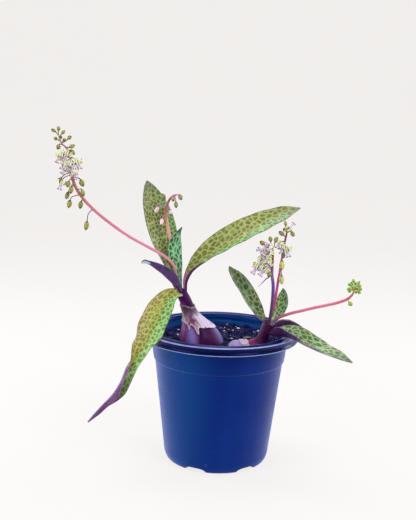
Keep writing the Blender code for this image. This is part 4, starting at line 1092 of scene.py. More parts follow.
def leaf_material(name, k, seed):
    n = Nodes(name)
    u, v, w, t, side = n.attr("u"), n.attr("v"), n.attr("w"), n.attr("t"), n.attr("side")
    flat = n.vec(n.math('ADD', u, seed * 13.7), n.math('DIVIDE', v, k["stretch"]), 0.0)
    soft = n.noise(flat, 0.55, 2.0, 0.5, out="Color")
    push = n.scale(n.vadd(soft, (-0.5, -0.5, -0.5)), (1.6, 1.6, 0.0))
    rag = n.noise(flat, 2.4, 2.0, 0.5, out="Color")
    push = n.vadd(push, n.scale(n.vadd(rag, (-0.5, -0.5, -0.5)), (0.55, 0.55, 0.0)))
    warped = n.vadd(flat, push)
    edge = n.voronoi(warped, 1.0 / k["cell"], 'DISTANCE_TO_EDGE', rand=0.9, flat=True)
    tint = n.voronoi(warped, 1.0 / k["cell"], 'F1', out="Color", rand=0.9, flat=True)
    r1, r2 = n.red(tint), n.green(tint)
    # second, finer set of blots inside and between the big ones
    edge2 = n.voronoi(n.vadd(warped, (31.0, 17.0, 0.0)), 2.1 / k["cell"], 'DISTANCE_TO_EDGE', flat=True)
    fine = n.noise(n.vec(n.math('MULTIPLY', u, 3.0), n.math('MULTIPLY', v, 0.5), seed), 1.0, 4.0, 0.6)
    broad = n.noise(flat, 0.12, 2.0)
    mint_in = n.math('ADD', n.math('MULTIPLY', w, float(k["mint_dir"])), n.math('MULTIPLY', n.math('SUBTRACT', broad, 0.5), 0.9))
    minty = n.step(mint_in, k["mint_at"] - 0.12, k["mint_at"] + 0.42)
    width = n.math('MULTIPLY', n.step(n.noise(flat, 0.35, 2.0), 0.3, 0.7, 0.55, 1.25), k["net"])
    width = n.math('MULTIPLY', width, n.math('ADD', 1.0, n.math('MULTIPLY', minty, 0.20)))
    spot_on = n.step(n.math('ADD', edge, n.math('MULTIPLY', n.math('SUBTRACT', n.noise(flat, 4.0, 2.0), 0.5), 0.10)), n.math('MULTIPLY', width, 0.15), n.math('MULTIPLY', width, 1.15))
    small = n.step(edge2, 0.04, 0.16)
    core = n.voronoi(warped, 1.0 / k["cell"], 'F1', rand=0.9, flat=True)
    grit = n.math('MULTIPLY', n.math('SUBTRACT', n.noise(flat, 3.2, 2.0), 0.5), 0.16)
    round_off = n.step(n.math('ADD', core, grit), 0.64, 0.48)
    keep = n.step(r1, 0.0, 0.10, 0.55, 1.0)
    spot_on = n.math('MULTIPLY', n.math('MULTIPLY', spot_on, round_off), keep)
    spot_on = n.math('MULTIPLY', spot_on, n.math('ADD', n.math('MULTIPLY', small, n.math('ADD', 0.22, n.math('MULTIPLY', minty, 0.12))), n.math('SUBTRACT', 0.78, n.math('MULTIPLY', minty, 0.12))))
    spot = n.mix(n.step(r2, 0.25, 0.85), rgb(*k["spot"]), rgb(*k["spot2"]))
    spot = n.mix(n.math('MULTIPLY', n.step(fine, 0.45, 0.8), 0.40), spot, rgb(*[c * 0.55 for c in k["spot"]]))
    pale = n.mix(minty, rgb(*k["pale"]), rgb(*k["mint"]))
    pale = n.mix(n.math('MULTIPLY', n.step(fine, 0.5, 0.8), 0.35), pale, rgb(*[0.72 * c for c in k["pale"]]))
    spot = n.mix(n.math('MULTIPLY', minty, 0.60), spot, rgb(*k.get("spot3", (48, 104, 56))))
    spot = n.mix(n.step(t, 0.55, 0.95, 0.0, k.get("tipdark", 0.35)), spot, rgb(*[c * 0.5 for c in k["spot"]]))
    pale = n.mix(n.step(t, 0.60, 1.0, 0.0, 0.5), pale, rgb(*[0.62 * c for c in k["pale"]]))
    top = n.mix(spot_on, pale, spot)
    if "shade" in k:
        top = n.mix(n.step(t, 0.52, 0.74, 0.0, 0.62), top, rgb(*k["shade"]))
        top = n.mix(n.step(t, 0.75, 0.80), top, n.mix(fine, rgb(*k["under2"]), rgb(*k["under"])))
    if k["brown"]:
        patch = n.math('MULTIPLY', n.step(n.math('ADD', n.math('MULTIPLY', broad, 1.0), n.math('MULTIPLY', w, -0.25 * k["mint_dir"])), 0.50, 0.72), k["brown"])
        top = n.mix(patch, top, n.mix(spot_on, rgb(184, 150, 110), rgb(128, 96, 46)))
    # darker towards the tip, thin coloured margin, coloured leaf base
    aw = n.math('ABSOLUTE', w)
    top = n.mix(n.math('MULTIPLY', n.step(t, 0.86, 1.0), 0.45), top, rgb(*[c * 0.55 for c in k["spot"]]))
    rim = n.step(n.math('ADD', aw, n.math('MULTIPLY', fine, 0.02)), 0.955, 0.985)
    top = n.mix(rim, top, rgb(*k["rim"]))
    mid = n.math('MULTIPLY', n.step(aw, 0.05, 0.0), 0.25)
    top = n.mix(mid, top, rgb(*k["pale"]))
    if k["base_end"]:
        base = n.step(n.math('ADD', t, n.math('MULTIPLY', n.math('SUBTRACT', fine, 0.5), 0.06)), k["base_end"], k["base_end"] * 0.45)
        top = n.mix(base, top, rgb(*k["base"]))
        deep = n.step(t, 0.04, 0.0)
        top = n.mix(deep, top, rgb(*k["under2"]))
    streak = n.noise(n.vec(n.math('MULTIPLY', u, 1.6), n.math('MULTIPLY', v, 0.10), seed + 5.0), 1.0, 4.0, 0.6)
    if "hem" in k:
        reach = n.math('SUBTRACT', n.math('MULTIPLY', w, float(k["mint_dir"])), n.math('ADD', n.math('MULTIPLY', t, k["hem"][0]), k["hem"][1]))
        top = n.mix(n.math('MULTIPLY', n.step(reach, -0.05, 0.12), n.step(t, k["hem"][2], k["hem"][2] - 0.04)), top, n.mix(fine, rgb(*k["under2"]), rgb(*k["under"])))
    if "tip" in k:
        top = n.mix(n.math('MULTIPLY', n.step(t, 0.80, 0.86), n.step(aw, 0.75, 0.55)), top, rgb(*k["tip"]))
    below = n.mix(n.step(streak, 0.3, 0.7), rgb(*k["under2"]), rgb(*k["under"]))
    below = n.mix(n.math('MULTIPLY', n.step(edge, 0.02, 0.3, 1.0, 0.0), 0.18), below, rgb(*[min(255, c * 1.35 + 14) for c in k["under"]]))
    below = n.mix(n.step(aw, 0.94, 1.0), below, rgb(*[min(255, c * 1.3 + 40) for c in k["under"]]))
    if "tip" in k:
        below = n.mix(n.math('MULTIPLY', n.step(t, 0.80, 0.86), n.step(n.math('ABSOLUTE', n.math('SUBTRACT', aw, 0.35)), 0.34, 0.22)), below, rgb(*k["tip"]))
    col = n.mix(n.step(side, 0.45, 0.55), below, top)
    vein = n.noise(n.vec(n.math('MULTIPLY', u, 2.4), n.math('MULTIPLY', v, 0.05), seed), 1.0, 3.0, 0.6)
    nrm = n.bump(vein, 0.22, 0.55)
    nrm = n.bump(n.step(edge, 0.0, 0.3), 0.10, 0.5, nrm)
    nrm = n.bump(n.noise(flat, 7.0, 2.0), 0.03, 0.5, nrm)
    rough = n.step(fine, 0.3, 0.7, 0.36, 0.52)
    return n.surface(col, rough, nrm, Specular_IOR_Level=0.45, Coat_Weight=0.10, Coat_Roughness=0.3,
                     Subsurface_Weight=0.06, Subsurface_Radius=(0.002, 0.004, 0.001), Subsurface_Scale=0.5,
                     Sheen_Weight=0.08, Sheen_Roughness=0.4)


def leaf_shape(rows, along, lead, wave, seed, thickness=1.0, m=12, narrow=0.0):
    s, dist, total = hermite(rows, along, lead)
    t = tangents(s[:, :3])
    ws = np.sin(np.linspace(-1, 1, 2 * m + 1) * math.pi / 2)
    up_pts, low_pts, U, V, W, T = [], [], [], [], [], []
    for i in range(along):
        p, half, fold = s[i, :3], max(s[i, 3], 0.12), math.radians(s[i, 7])
        # the base below the first row narrows into the neck
        if dist[i] < 0:
            half *= 1.0 + 0.10 * dist[i] / max(lead, 1e-6)
        across = unit(s[i, 4:7] - t[i] * (s[i, 4:7] @ t[i]))
        up = np.cross(t[i], across)
        thick = thickness * min(1.0, 0.40 + half / 6.0)
        for w in ws:
            soft = (math.sqrt(w * w + 0.012) - 0.1095) / (math.sqrt(1.012) - 0.1095)
            side = max(-1.0, min(1.0, w / 0.22))
            normal = math.cos(fold * abs(side)) * up - side * math.sin(fold) * across
            normal = unit(normal)
            ripple = wave * abs(w) ** 3 * math.sin(2 * math.pi * dist[i] / 15.0 + seed + (1.7 if w > 0 else 0.0)) * min(1.0, half / 5.0)
            ripple += 0.10 * wob(dist[i] * 0.18, w * half * 0.35, seed) * min(1.0, half / 4.0)
            # the turned-over half of the drooping leaf is the narrower one
            wide = half * (1.0 - (narrow * float(smoothstep(dist[i] / total, 0.50, 0.60) * (1 - smoothstep(dist[i] / total, 0.74, 0.80))) if w < 0 else 0.0))
            pt = p + wide * (w * math.cos(fold) * across + soft * math.sin(fold) * up) + normal * ripple
            up_pts.append(pt)
            low_pts.append(pt - normal * thick * (1.0 - 0.78 * w * w))
            U.append(w * half)
            V.append(dist[i])
            W.append(w)
            T.append(dist[i] / total)
    cols = 2 * m + 1
    n = along * cols
    faces = []
    for i in range(along - 1):
        for j in range(cols - 1):
            a, b = i * cols + j, (i + 1) * cols + j
            faces.append((a, b, b + 1, a + 1))
            faces.append((n + a, n + a + 1, n + b + 1, n + b))
        a, b = i * cols, (i + 1) * cols
        faces.append((a, n + a, n + b, b))
        a, b = a + cols - 1, b + cols - 1
        faces.append((a, b, n + b, n + a))
    for j in range(cols - 1):
        faces.append((j, j + 1, n + j + 1, n + j))
        a = (along - 1) * cols + j
        faces.append((a, n + a, n + a + 1, a + 1))
    side = [1.0] * n + [0.0] * n
    return up_pts + low_pts, faces, dict(u=U * 2, v=V * 2, w=W * 2, t=T * 2, side=side)


def make_leaves():
    leads = {"leaf_drooping": 1.2, "leaf_curled": 1.5, "leaf_arching": 1.6, "leaf_short": 1.2}
    waves = {"leaf_drooping": 0.35, "leaf_broad": 0.25, "leaf_arching": 0.35, "leaf_left": 0.2}
    for i, (name, rows) in enumerate(LEAVES.items()):
        pts, faces, at = leaf_shape(rows, 110 if len(rows) > 8 else 80, leads.get(name, 2.2), waves.get(name, 0.12), 1.3 * i + 0.7,
                                    narrow=0.45 if name == "leaf_drooping" else 0.0)
        shape = Shape("u", "v", "w", "t", "side")
        shape.add(pts, faces, 0, **at)
        settle(shape.build(name + "_blade", [leaf_material(name, LOOKS[name], float(i))]), name, name)


# ===========================================================================
# flower stalks
# ===========================================================================
# route: x, y, z, radius.  flowers: place along the stalk, offset of the bud or
# flower, radius, length, and "b" for a bud or "o" for an open flower.
STALKS = {
    "flower_stalk_1": dict(slim=0.88,
        route=[(-28.3, -11.8, 114.2, 0.7), (-28.7, -12.2, 121.0, 0.8), (-29.6, -12.9, 126.8, 0.95),
               (-31.4, -14.0, 131.7, 1.05), (-36.5, -15.2, 136.5, 1.05), (-46.5, -15.7, 142.0, 1.05),
               (-59.0, -15.9, 148.5, 1.05), (-71.0, -16.5, 156.5, 1.1), (-81.0, -17.5, 164.5, 1.1),
               (-88.0, -18.0, 171.5, 1.15), (-92.5, -18.5, 178.0, 1.15), (-95.0, -19.0, 184.5, 1.1),
               (-96.5, -19.0, 192.0, 0.9), (-96.5, -19.0, 198.5, 0.75), (-98.5, -19.0, 202.5, 0.6),
               (-102.0, -19.0, 206.0, 0.5), (-103.5, -19.0, 210.0, 0.45), (-104.0, -19.0, 213.5, 0.4)],
        flowers=[(0.98, -3.0, -1.0, 2.5, 1.1, 2.6, 'b'), (0.99, 0.0, 1.0, 2.5, 1.1, 2.4, 'b'),
                 (0.97, 2.5, 1.0, 3.0, 1.1, 2.4, 'b'), (0.96, 1.0, -2.5, 1.0, 1.2, 2.6, 'b'),
                 (0.95, -3.5, 2.0, 1.5, 1.1, 2.4, 'b'), (0.94, 5.0, 0.0, 3.5, 1.2, 2.6, 'b'),
                 (0.94, 1.5, 2.5, 2.0, 1.1, 2.4, 'b'), (0.93, -2.5, -1.5, -1.5, 1.4, 2.8, 'b'),
                 (0.91, 3.5, 1.0, 1.0, 1.3, 3.2, 'b'), (0.89, 2.5, 0.5, -0.5, 1.3, 3.2, 'b'),
                 (0.89, -6.0, -1.0, -5.0, 1.5, 3.0, 'o'), (0.88, -3.5, -3.0, -2.5, 1.6, 3.0, 'o'),
                 (0.87, -2.0, -3.5, -0.5, 1.6, 3.0, 'o'), (0.86, 5.0, 0.5, -4.5, 1.7, 3.2, 'o'),
                 (0.85, -4.0, -2.0, -3.5, 1.7, 3.2, 'o'), (0.83, -0.5, -3.5, -2.0, 1.7, 3.2, 'o'),
                 (0.84, 3.0, -2.5, -1.5, 1.6, 3.2, 'o'), (0.81, -3.5, -2.0, -1.5, 1.6, 3.0, 'o'),
                 (0.79, 3.0, -1.5, -1.5, 1.5, 3.0, 'o'), (0.79, -7.5, 0.5, -5.0, 1.5, 3.8, 'b'),
                 (0.77, 6.0, 0.5, -3.5, 1.6, 4.0, 'b'), (0.78, -6.5, -1.5, -6.5, 1.5, 3.4, 'o'),
                 (0.76, -2.5, -2.0, -3.0, 1.4, 3.4, 'b'), (0.74, -1.5, -2.5, -4.0, 1.4, 4.0, 'b'),
                 (0.73, -5.0, 0.5, -6.5, 1.4, 4.2, 'b'), (0.68, -7.0, 0.5, -6.0, 1.6, 4.4, 'b'),
                 (0.65, -2.0, -2.0, -3.0, 1.4, 4.2, 'b'), (0.59, -4.5, 0.5, -10.5, 1.6, 4.8, 'b'),
                 (0.71, 4.0, -1.5, -2.0, 1.3, 3.6, 'b')]),
    "flower_stalk_2": dict(
        route=[(-26.0, -7.5, 113.9, 0.7), (-27.2, -7.7, 122.0, 0.8), (-29.6, -7.7, 131.0, 0.9),
               (-31.5, -8.1, 138.5, 0.95), (-34.0, -8.4, 147.5, 1.0), (-36.0, -8.8, 156.5, 1.0),
               (-37.0, -9.0, 164.5, 0.9), (-36.0, -9.0, 170.0, 0.8), (-33.5, -9.0, 174.0, 0.65),
               (-31.0, -9.0, 175.5, 0.5), (-29.5, -9.0, 175.5, 0.4)],
        flowers=[(0.86, -3.0, 0.5, 4.5, 1.5, 3.4, 'b'), (1.00, 1.5, -0.5, -1.5, 1.4, 3.2, 'b'),
                 (0.95, 2.0, -1.5, -5.5, 1.3, 3.4, 'b'), (0.84, 3.0, -1.5, -4.0, 1.6, 3.4, 'p'),
                 (0.81, -6.0, 0.0, -1.0, 1.3, 4.6, 'p'), (0.75, -2.5, -1.5, -4.5, 1.3, 4.4, 'p'),
                 (0.92, 1.5, -2.0, -0.5, 1.2, 2.8, 'b')]),
    "flower_stalk_3": dict(
        route=[(31.3, -14.6, 95.5, 0.85), (31.9, -14.6, 99.5, 1.05), (32.5, -14.2, 104.5, 1.1),
               (33.0, -13.6, 112.5, 1.1), (33.0, -13.2, 119.5, 1.1), (32.0, -13.0, 126.5, 0.95),
               (32.0, -12.5, 133.5, 0.8), (32.0, -12.5, 140.0, 0.6), (31.5, -12.5, 144.5, 0.4)],
        flowers=[(0.73, -11.0, -1.0, -1.5, 1.8, 4.0, 'o'), (0.71, -6.5, -3.5, -1.5, 1.8, 3.6, 'o'),
                 (0.78, -8.0, -1.0, 0.0, 1.6, 3.6, 'o'), (0.82, -5.5, -1.5, 2.5, 1.6, 3.4, 'o'),
                 (0.89, -8.0, -1.0, 3.0, 1.5, 3.2, 'o'), (0.96, -7.0, -0.5, 4.5, 1.5, 3.0, 'b'),
                 (0.96, -4.0, -2.5, 3.0, 1.5, 3.0, 'o'), (1.00, -1.5, 1.0, 5.0, 1.3, 2.8, 'b'),
                 (0.98, 2.0, -0.5, 6.0, 1.4, 3.0, 'b'), (0.90, -4.0, -3.5, 2.0, 1.6, 3.2, 'o'),
                 (0.69, -2.0, -3.0, -2.0, 1.4, 3.2, 'b'), (0.79, -3.5, -4.0, -1.0, 1.5, 3.2, 'o')]),
    "flower_stalk_4": dict(
        route=[(31.5, -12.0, 95.5, 0.65), (32.2, -11.8, 98.5, 0.8), (34.0, -11.3, 104.5, 0.85),
               (35.5, -10.2, 115.0, 0.9), (36.5, -10.0, 124.0, 0.85),
               (37.5, -9.5, 132.0, 0.8), (38.5, -9.0, 140.0, 0.75), (39.5, -8.5, 147.5, 0.7),
               (40.5, -8.0, 153.5, 0.55), (40.5, -7.5, 156.0, 0.4)],
        flowers=[(0.58, 1.0, -2.5, -7.0, 1.6, 5.0, 's'), (0.75, -0.5, -3.0, -8.0, 1.9, 5.0, 's'),
                 (0.82, 2.5, -1.0, -4.5, 1.7, 3.4, 'o'), (0.82, -1.5, -2.5, -2.5, 1.5, 3.2, 'o'),
                 (0.79, 0.0, -0.5, -4.5, 1.4, 3.0, 'b'), (0.86, -4.0, -1.5, -2.0, 1.4, 3.0, 'o'),
                 (0.91, -3.0, -0.5, 2.5, 1.4, 3.6, 'b'), (0.99, 3.0, 0.5, 2.5, 1.3, 3.0, 'o'),
                 (0.96, 4.0, 0.5, -1.0, 1.4, 3.0, 'b'), (1.00, -1.0, 0.5, 3.5, 1.1, 2.4, 'b'),
                 (0.97, -1.5, -2.0, 1.5, 1.2, 2.6, 'b')]),
    "flower_stalk_5": dict(
        route=[(33.2, -13.0, 95.7, 0.65), (35.2, -11.7, 97.1, 0.8), (38.4, -10.4, 98.6, 0.95),
               (45.5, -9.5, 101.2, 1.0), (52.5, -9.0, 103.0, 1.0), (60.5, -8.0, 105.0, 1.0),
               (69.5, -7.0, 107.0, 1.0), (77.5, -6.0, 109.0, 1.0), (82.0, -6.0, 111.0, 0.9),
               (85.0, -5.5, 113.5, 0.75), (86.5, -5.5, 117.0, 0.6), (87.0, -5.5, 119.5, 0.45)],
        flowers=[(0.84, 2.0, -1.5, -3.0, 1.5, 3.2, 'g')]),
}
CLUSTER_BUDS, CLUSTER_RADIUS = 15, 4.0
for _k5 in range(CLUSTER_BUDS):
    _hh = -0.55 + 1.5 * (_k5 + 0.5) / CLUSTER_BUDS
    _aa = math.radians(137.5) * _k5
    _ring = math.sqrt(max(0.0, 1.0 - _hh * _hh))
    STALKS["flower_stalk_5"]["flowers"].append(
        (0.955 + 0.03 * (_k5 / CLUSTER_BUDS), CLUSTER_RADIUS * _ring * math.cos(_aa), CLUSTER_RADIUS * _ring * math.sin(_aa),
         CLUSTER_RADIUS * _hh + 0.8, 1.25 - 0.3 * max(_hh, 0.0), 2.4, 'g'))


def stalk_material(name, stops, line):
    n = Nodes(name + "_stalk")
    t, a = n.attr("t"), n.attr("a")
    o = n.obj()
    fleck = n.noise(o, 700.0, 3.0, 0.6)
    streak = n.noise(n.vec(n.math('MULTIPLY', a, 5.0), n.math('MULTIPLY', t, 12.0), 0.0), 2.0, 3.0, 0.6)
    where = n.math('ADD', t, n.math('MULTIPLY', n.math('SUBTRACT', n.noise(o, 120.0, 2.0), 0.5), 0.08))
    col = n.ramp(where, [(p, rgb(*c)) for p, c in stops])
    col = n.mix(n.math('MULTIPLY', n.step(streak, 0.52, 0.75), 0.45), col, rgb(*line))
    col = n.mix(n.math('MULTIPLY', n.step(fleck, 0.62, 0.8), 0.3), col, rgb(240, 210, 210))
    nrm = n.bump(streak, 0.08, 0.5)
    return n.surface(col, n.step(fleck, 0.3, 0.7, 0.38, 0.55), nrm, Coat_Weight=0.15, Coat_Roughness=0.3,
                     Sheen_Weight=0.2, Sheen_Roughness=0.4, Subsurface_Weight=0.08,
                     Subsurface_Radius=(0.003, 0.001, 0.001), Subsurface_Scale=0.4)


def bud_material(name, light, mid, dark, stripe, tip, at=0.74):
    n = Nodes(name)
    t, rib, tone = n.attr("t"), n.attr("a"), n.attr("tone")
    o = n.obj()
    speck = n.noise(o, 1400.0, 3.0, 0.6)
    body = n.mix(tone, rgb(*light), rgb(*mid))
    body = n.mix(n.math('MULTIPLY', n.step(speck, 0.4, 0.7), 0.35), body, rgb(*dark))
    line = n.math('MULTIPLY', n.step(rib, 0.62, 0.9), n.step(t, 0.05, 0.4, 0.9, 0.62))
    body = n.mix(line, body, rgb(*stripe))
    body = n.mix(n.step(t, 0.22, 0.0), body, rgb(*tip))
    body = n.mix(n.math('MULTIPLY', n.step(t, at, at + 0.16), 0.85), body, rgb(*tip))
    nrm = n.bump(speck, 0.05, 0.5)
    return n.surface(body, n.step(speck, 0.3, 0.7, 0.34, 0.5), nrm, Coat_Weight=0.15, Coat_Roughness=0.3,
                     Subsurface_Weight=0.08, Subsurface_Radius=(0.002, 0.003, 0.001), Subsurface_Scale=0.4)


def tepal_material():
    n = Nodes("tepal")
    t, a = n.attr("t"), n.attr("a")
    o = n.obj()
    speck = n.noise(o, 1300.0, 3.0, 0.6)
    col = n.ramp(t, [(0.0, rgb(120, 46, 84)), (0.14, rgb(206, 180, 200)), (0.36, rgb(246, 240, 240)), (0.62, rgb(222, 232, 150)), (1.0, rgb(184, 212, 84))])
    keel = n.math('MULTIPLY', n.step(n.math('ABSOLUTE', a), 0.45, 0.05), 0.75)
    col = n.mix(keel, col, n.mix(t, rgb(140, 60, 104), rgb(124, 156, 34)))
    col = n.mix(n.math('MULTIPLY', n.step(n.math('ABSOLUTE', a), 0.75, 1.0), 0.6), col, rgb(244, 240, 246))
    col = n.mix(n.math('MULTIPLY', n.attr("tone"), 0.26), col, rgb(240, 222, 242))
    col = n.mix(n.math('MULTIPLY', n.step(speck, 0.55, 0.8), 0.2), col, rgb(250, 246, 250))
    return n.surface(col, n.step(speck, 0.3, 0.7, 0.4, 0.55), n.bump(speck, 0.04, 0.4), Sheen_Weight=0.15,
                     Sheen_Roughness=0.4, Subsurface_Weight=0.1, Subsurface_Radius=(0.002, 0.002, 0.001), Subsurface_Scale=0.4)


def filament_material():
    n = Nodes("filament")
    t = n.attr("t")
    o = n.obj()
    speck = n.noise(o, 1500.0, 2.0)
    col = n.ramp(t, [(0.0, rgb(248, 240, 254)), (0.55, rgb(226, 196, 244)), (0.82, rgb(176, 112, 216)), (0.9, rgb(104, 60, 120)), (1.0, rgb(150, 120, 90))])
    col = n.mix(n.math('MULTIPLY', n.step(speck, 0.5, 0.75), 0.3), col, rgb(230, 190, 240))
    return n.surface(col, n.step(speck, 0.3, 0.7, 0.4, 0.55), n.bump(speck, 0.03, 0.4), Sheen_Weight=0.15, Sheen_Roughness=0.4)


def side_axes(axis):
    axis = unit(axis)
    u = np.cross(axis, (0.0, 0.0, 1.0) if abs(axis[2]) < 0.9 else (1.0, 0.0, 0.0))
    u = unit(u)
    return axis, u, np.cross(axis, u)


def add_bud(shape, base, axis, r, length, mat, tone, spin):
    axis, u, v = side_axes(axis)
    rows, sides = 10, 18
    pts, T, A = [], [], []
    for i in range(rows):
        x = i / (rows - 1)
        rad = r * (0.30 + 0.70 * math.sin(math.pi * min(1.0, x * 1.0 + 0.05)) ** 0.75)
        if x < 0.12:
            rad = r * (0.30 + 2.6 * x)
        if x > 0.8:
            rad *= max(0.12, 1.0 - ((x - 0.8) / 0.2) ** 1.8 * 0.8)
        for j in range(sides):
            a = 2 * math.pi * j / sides + spin
            rib = math.cos(6 * a)
            rr = rad * (1 + 0.055 * rib)
            pts.append(base + axis * length * x + rr * (math.cos(a) * u + math.sin(a) * v))
            T.append(x)
            A.append(0.5 - 0.5 * rib)
    shape.add(pts, grid_faces(rows, sides), mat, t=T, a=A, tone=tone)


def add_open(shape, base, axis, r, length, mat_tepal, mat_fil, mat_bud, tone, spin):
    axis, u, v = side_axes(axis)
    # small cup and ovary
    add_bud(shape, base, axis, r * 0.42, length * 0.42, mat_bud, tone, spin)
    for k in range(6):
        a = spin + math.pi / 3 * k
        out = math.cos(a) * u + math.sin(a) * v
        tang = np.cross(axis, out)
        n_s = 8
        up, low, T, A = [], [], [], []
        for i in range(n_s):
            s = i / (n_s - 1)
            reach = r * (0.28 + 1.15 * math.sin(s * 1.9) / math.sin(1.57))
            rise = length * (0.10 + 0.62 * math.sin(min(1.0, s * 1.45) * math.pi) * 0.62 - 0.10 * s - 0.26 * s ** 2)
            c = base + axis * rise + out * reach
            w = r * 0.52 * math.sin(math.pi * (0.22 + 0.70 * s)) ** 0.8
            nrm = unit(axis * math.cos(s * 2.6) + out * math.sin(s * 2.6))
            for e in (-1.0, 0.0, 1.0):
                q = c + tang * w * e - nrm * (0.10 * (1 - e * e)) * r
                up.append(q + nrm * 0.08)
                low.append(q - nrm * 0.08)
                T.append(s)
                A.append(e)
        n = len(up)
        faces = []
        for i in range(n_s - 1):
            for j in range(2):
                p, q = i * 3 + j, (i + 1) * 3 + j
                faces.append((p, p + 1, q + 1, q))
                faces.append((n + p, n + q, n + q + 1, n + p + 1))
            p, q = i * 3, (i + 1) * 3
            faces.append((p, q, n + q, n + p))
            p, q = p + 2, q + 2
            faces.append((p, n + p, n + q, q))
        faces += [(0, n, n + 1, 1), (1, n + 1, n + 2, 2)]
        e = (n_s - 1) * 3
        faces += [(e, e + 1, n + e + 1, n + e), (e + 1, e + 2, n + e + 2, n + e + 1)]
        shape.add(up + low, faces, mat_tepal, t=T * 2, a=A * 2, tone=tone)
        # stamen
        b = a + math.pi / 6
        o2 = math.cos(b) * u + math.sin(b) * v
        line = [base + axis * length * (0.25 + 0.75 * s) + o2 * r * (0.22 + 0.42 * s ** 1.3) for s in np.linspace(0, 1, 5)]
        tube(shape, line, [0.20, 0.18, 0.16, 0.14, 0.12], 5, mat_fil, t=[0.0, 0.2, 0.4, 0.6, 0.78], a=0.0, tone=tone)
        tip = line[-1]
        add_pts = [tip - axis * 0.30, tip - axis * 0.1, tip + axis * 0.18, tip + axis * 0.34]
        tube(shape, add_pts, [0.14, 0.34, 0.34, 0.10], 6, mat_fil, t=[0.9, 0.92, 0.96, 1.0], a=0.0, tone=tone)
    line = [base + axis * length * (0.3 + 0.65 * s) for s in np.linspace(0, 1, 4)]
    tube(shape, line, [0.16, 0.12, 0.10, 0.09], 5, mat_fil, t=[0.0, 0.3, 0.5, 0.7], a=0.0, tone=tone)


STALK_LOOK = {
    "flower_stalk_1": ([(0.0, (150, 110, 96)), (0.08, (214, 160, 140)), (0.16, (226, 150, 160)), (0.26, (226, 130, 172)), (0.5, (208, 112, 148)),
                        (0.60, (196, 116, 130)), (0.68, (178, 120, 104)), (0.80, (166, 108, 84)), (0.9, (150, 84, 110)), (1.0, (170, 150, 84))], (130, 44, 84)),
    "flower_stalk_2": ([(0.0, (200, 120, 140)), (0.3, (238, 150, 178)), (0.55, (236, 166, 172)), (0.68, (206, 156, 120)),
                        (0.78, (150, 86, 76)), (0.92, (140, 66, 84)), (1.0, (206, 110, 180))], (150, 70, 84)),
    "flower_stalk_3": ([(0.0, (70, 26, 66)), (0.2, (84, 26, 96)), (0.45, (92, 40, 140)), (0.55, (110, 60, 160)),
                        (0.66, (150, 90, 160)), (0.76, (130, 70, 80)), (0.9, (150, 84, 84)), (1.0, (176, 110, 90))], (60, 20, 60)),
    "flower_stalk_4": ([(0.0, (150, 30, 80)), (0.3, (190, 66, 128)), (0.55, (214, 96, 150)), (0.68, (190, 90, 120)),
                        (0.8, (110, 50, 50)), (0.93, (104, 50, 50)), (1.0, (170, 120, 90))], (120, 30, 70)),
    "flower_stalk_5": ([(0.0, (140, 70, 110)), (0.2, (206, 110, 140)), (0.6, (214, 116, 144)), (0.85, (196, 92, 116)),
                        (0.93, (190, 130, 100)), (1.0, (170, 176, 90))], (150, 60, 90)),
}


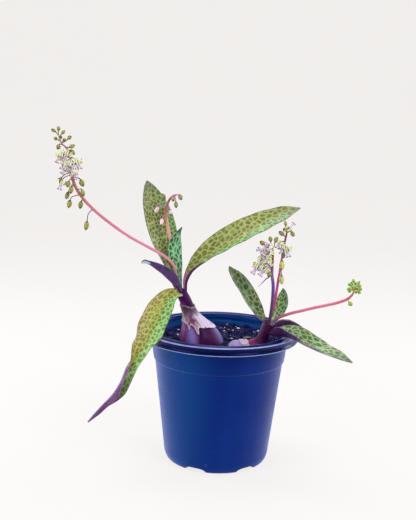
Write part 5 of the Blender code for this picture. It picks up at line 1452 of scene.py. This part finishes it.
def make_stalks():
    buds = bud_material("bud_green", (172, 176, 84), (132, 140, 56), (86, 94, 38), (116, 62, 50), (40, 24, 32), 0.68)
    striped = bud_material("bud_striped", (230, 226, 150), (206, 206, 112), (150, 160, 56), (84, 100, 20), (104, 40, 56), 0.84)
    pinks = bud_material("bud_pink", (252, 232, 236), (242, 204, 210), (226, 178, 176), (228, 140, 180), (196, 120, 150))
    greens = bud_material("bud_lime", (170, 200, 76), (136, 176, 54), (108, 150, 40), (120, 140, 50), (84, 84, 44))
    tepal, fil = tepal_material(), filament_material()
    ped = stalk_material("pedicel", [(0.0, (150, 70, 100)), (0.5, (140, 72, 110)), (1.0, (120, 60, 96))], (90, 40, 70))
    magenta_ped = stalk_material("pedicel_magenta", [(0.0, (196, 90, 160)), (0.5, (214, 120, 196)), (1.0, (190, 110, 180))], (150, 50, 120))
    green_ped = stalk_material("pedicel_green", [(0.0, (176, 150, 80)), (1.0, (160, 180, 80))], (130, 120, 50))
    for si, (name, spec) in enumerate(STALKS.items()):
        rng = np.random.default_rng(40 + si)
        stops, line = STALK_LOOK[name]
        shape = Shape("t", "a", "tone")
        count = 150
        s, dist, total = hermite(spec["route"], count, lead=2.0)
        _, us, vs = frames(s[:, :3])
        sides = 14
        pts, T, A = [], [], []
        for i in range(count):
            f = dist[i] / total
            for j in range(sides):
                a = 2 * math.pi * j / sides
                r = s[i, 3] * spec.get("slim", 1.0) * (1 + 0.05 * math.cos(3 * a + si) + 0.05 * wob(f * 30, math.cos(a) * 2, math.sin(a) * 2))
                pts.append(s[i, :3] + r * (math.cos(a) * us[i] + math.sin(a) * vs[i]))
                T.append(min(1.0, max(0.0, f)))
                A.append(math.cos(a) + 0.5 * math.sin(2 * a))
        shape.add(pts, grid_faces(count, sides), 0, t=T, a=A, tone=0.5)
        if name == "flower_stalk_3":
            tube(shape, [(32.0, -13.2, 126.4), (30.2, -14.0, 125.6), (28.1, -14.5, 124.1), (25.6, -15.0, 121.5), (23.1, -15.5, 118.9)],
                 [0.30, 0.42, 0.38, 0.24, 0.07], 6, 0, t=[0.45, 0.48, 0.5, 0.5, 0.5], a=0.4, tone=0.5)
        fine, _, _ = hermite(spec["route"], 201)
        ftan = tangents(fine[:, :3])
        for t, dx, dy, dz, r, length, kind in spec["flowers"]:
            k = int(round(t * 200))
            start = fine[k, :3]
            centre = start + np.array((dx, dy, dz))
            reach = centre - start
            flat = np.array((dx, dy, 0.25 * dz))
            out = unit(flat + ftan[k] * 0.5) if np.linalg.norm(flat) > 0.5 else unit(reach)
            # a bud hangs along its stem's end; a high one points away
            hang = np.array((0.0, 0.0, -1.0)) if dz < 0.5 else unit(reach)
            axis = unit(0.55 * unit(reach) + 0.75 * hang + rng.normal(0, 0.12, 3))
            if kind == 'g':
                axis = unit(unit(reach) + rng.normal(0, 0.12, 3))
            if kind == 'o':
                r, length = r * 1.42, length * 1.45
            elif kind == 'p':
                r, length = r * 0.90, length * 1.05
            elif kind in 'bs':
                r, length = r * 1.06, length * 1.22
            base = centre - axis * length * 0.5
            c1 = start + out * np.linalg.norm(base - start) * 0.55
            c2 = base - axis * np.linalg.norm(base - start) * 0.35
            line_pts = []
            for q in np.linspace(0, 1, 11):
                line_pts.append((1 - q)**3 * start + 3 * q * (1 - q)**2 * c1 + 3 * q * q * (1 - q) * c2 + q**3 * base)
            thick = [0.42] + [0.30] * 8 + [0.34, 0.44]
            tube(shape, line_pts, thick, 7, 5 if kind == 'g' else 1, t=np.linspace(0, 1, 11), a=0.3, tone=0.5)
            # a tiny bract where the stem leaves the stalk
            tube(shape, [start + out * 0.2, start + out * 0.9 + ftan[k] * 0.25, start + out * 1.5 + ftan[k] * 0.9], [0.42, 0.30, 0.06], 5, 0, t=t, a=0.2, tone=0.5)
            spin = rng.uniform(0, 1.0)
            tone = rng.uniform(0, 1)
            if kind == 'o':
                add_open(shape, base, axis, r, length, 3, 4, 2, tone, spin)
            else:
                add_bud(shape, base, axis, r, length, {'b': 2, 'p': 6, 'g': 7, 's': 8}[kind], tone, spin)
        mats = [stalk_material(name, stops, line), magenta_ped if name == "flower_stalk_2" else ped, buds, tepal, fil, green_ped, pinks, greens, striped]
        settle(shape.build(name + "_raceme", mats, flat_angle=70), name, name)


make_pot()
make_soil()
make_bulb_1()
make_tunic_1()
make_bulb_2()
make_tunic_2()
make_leaves()
make_stalks()
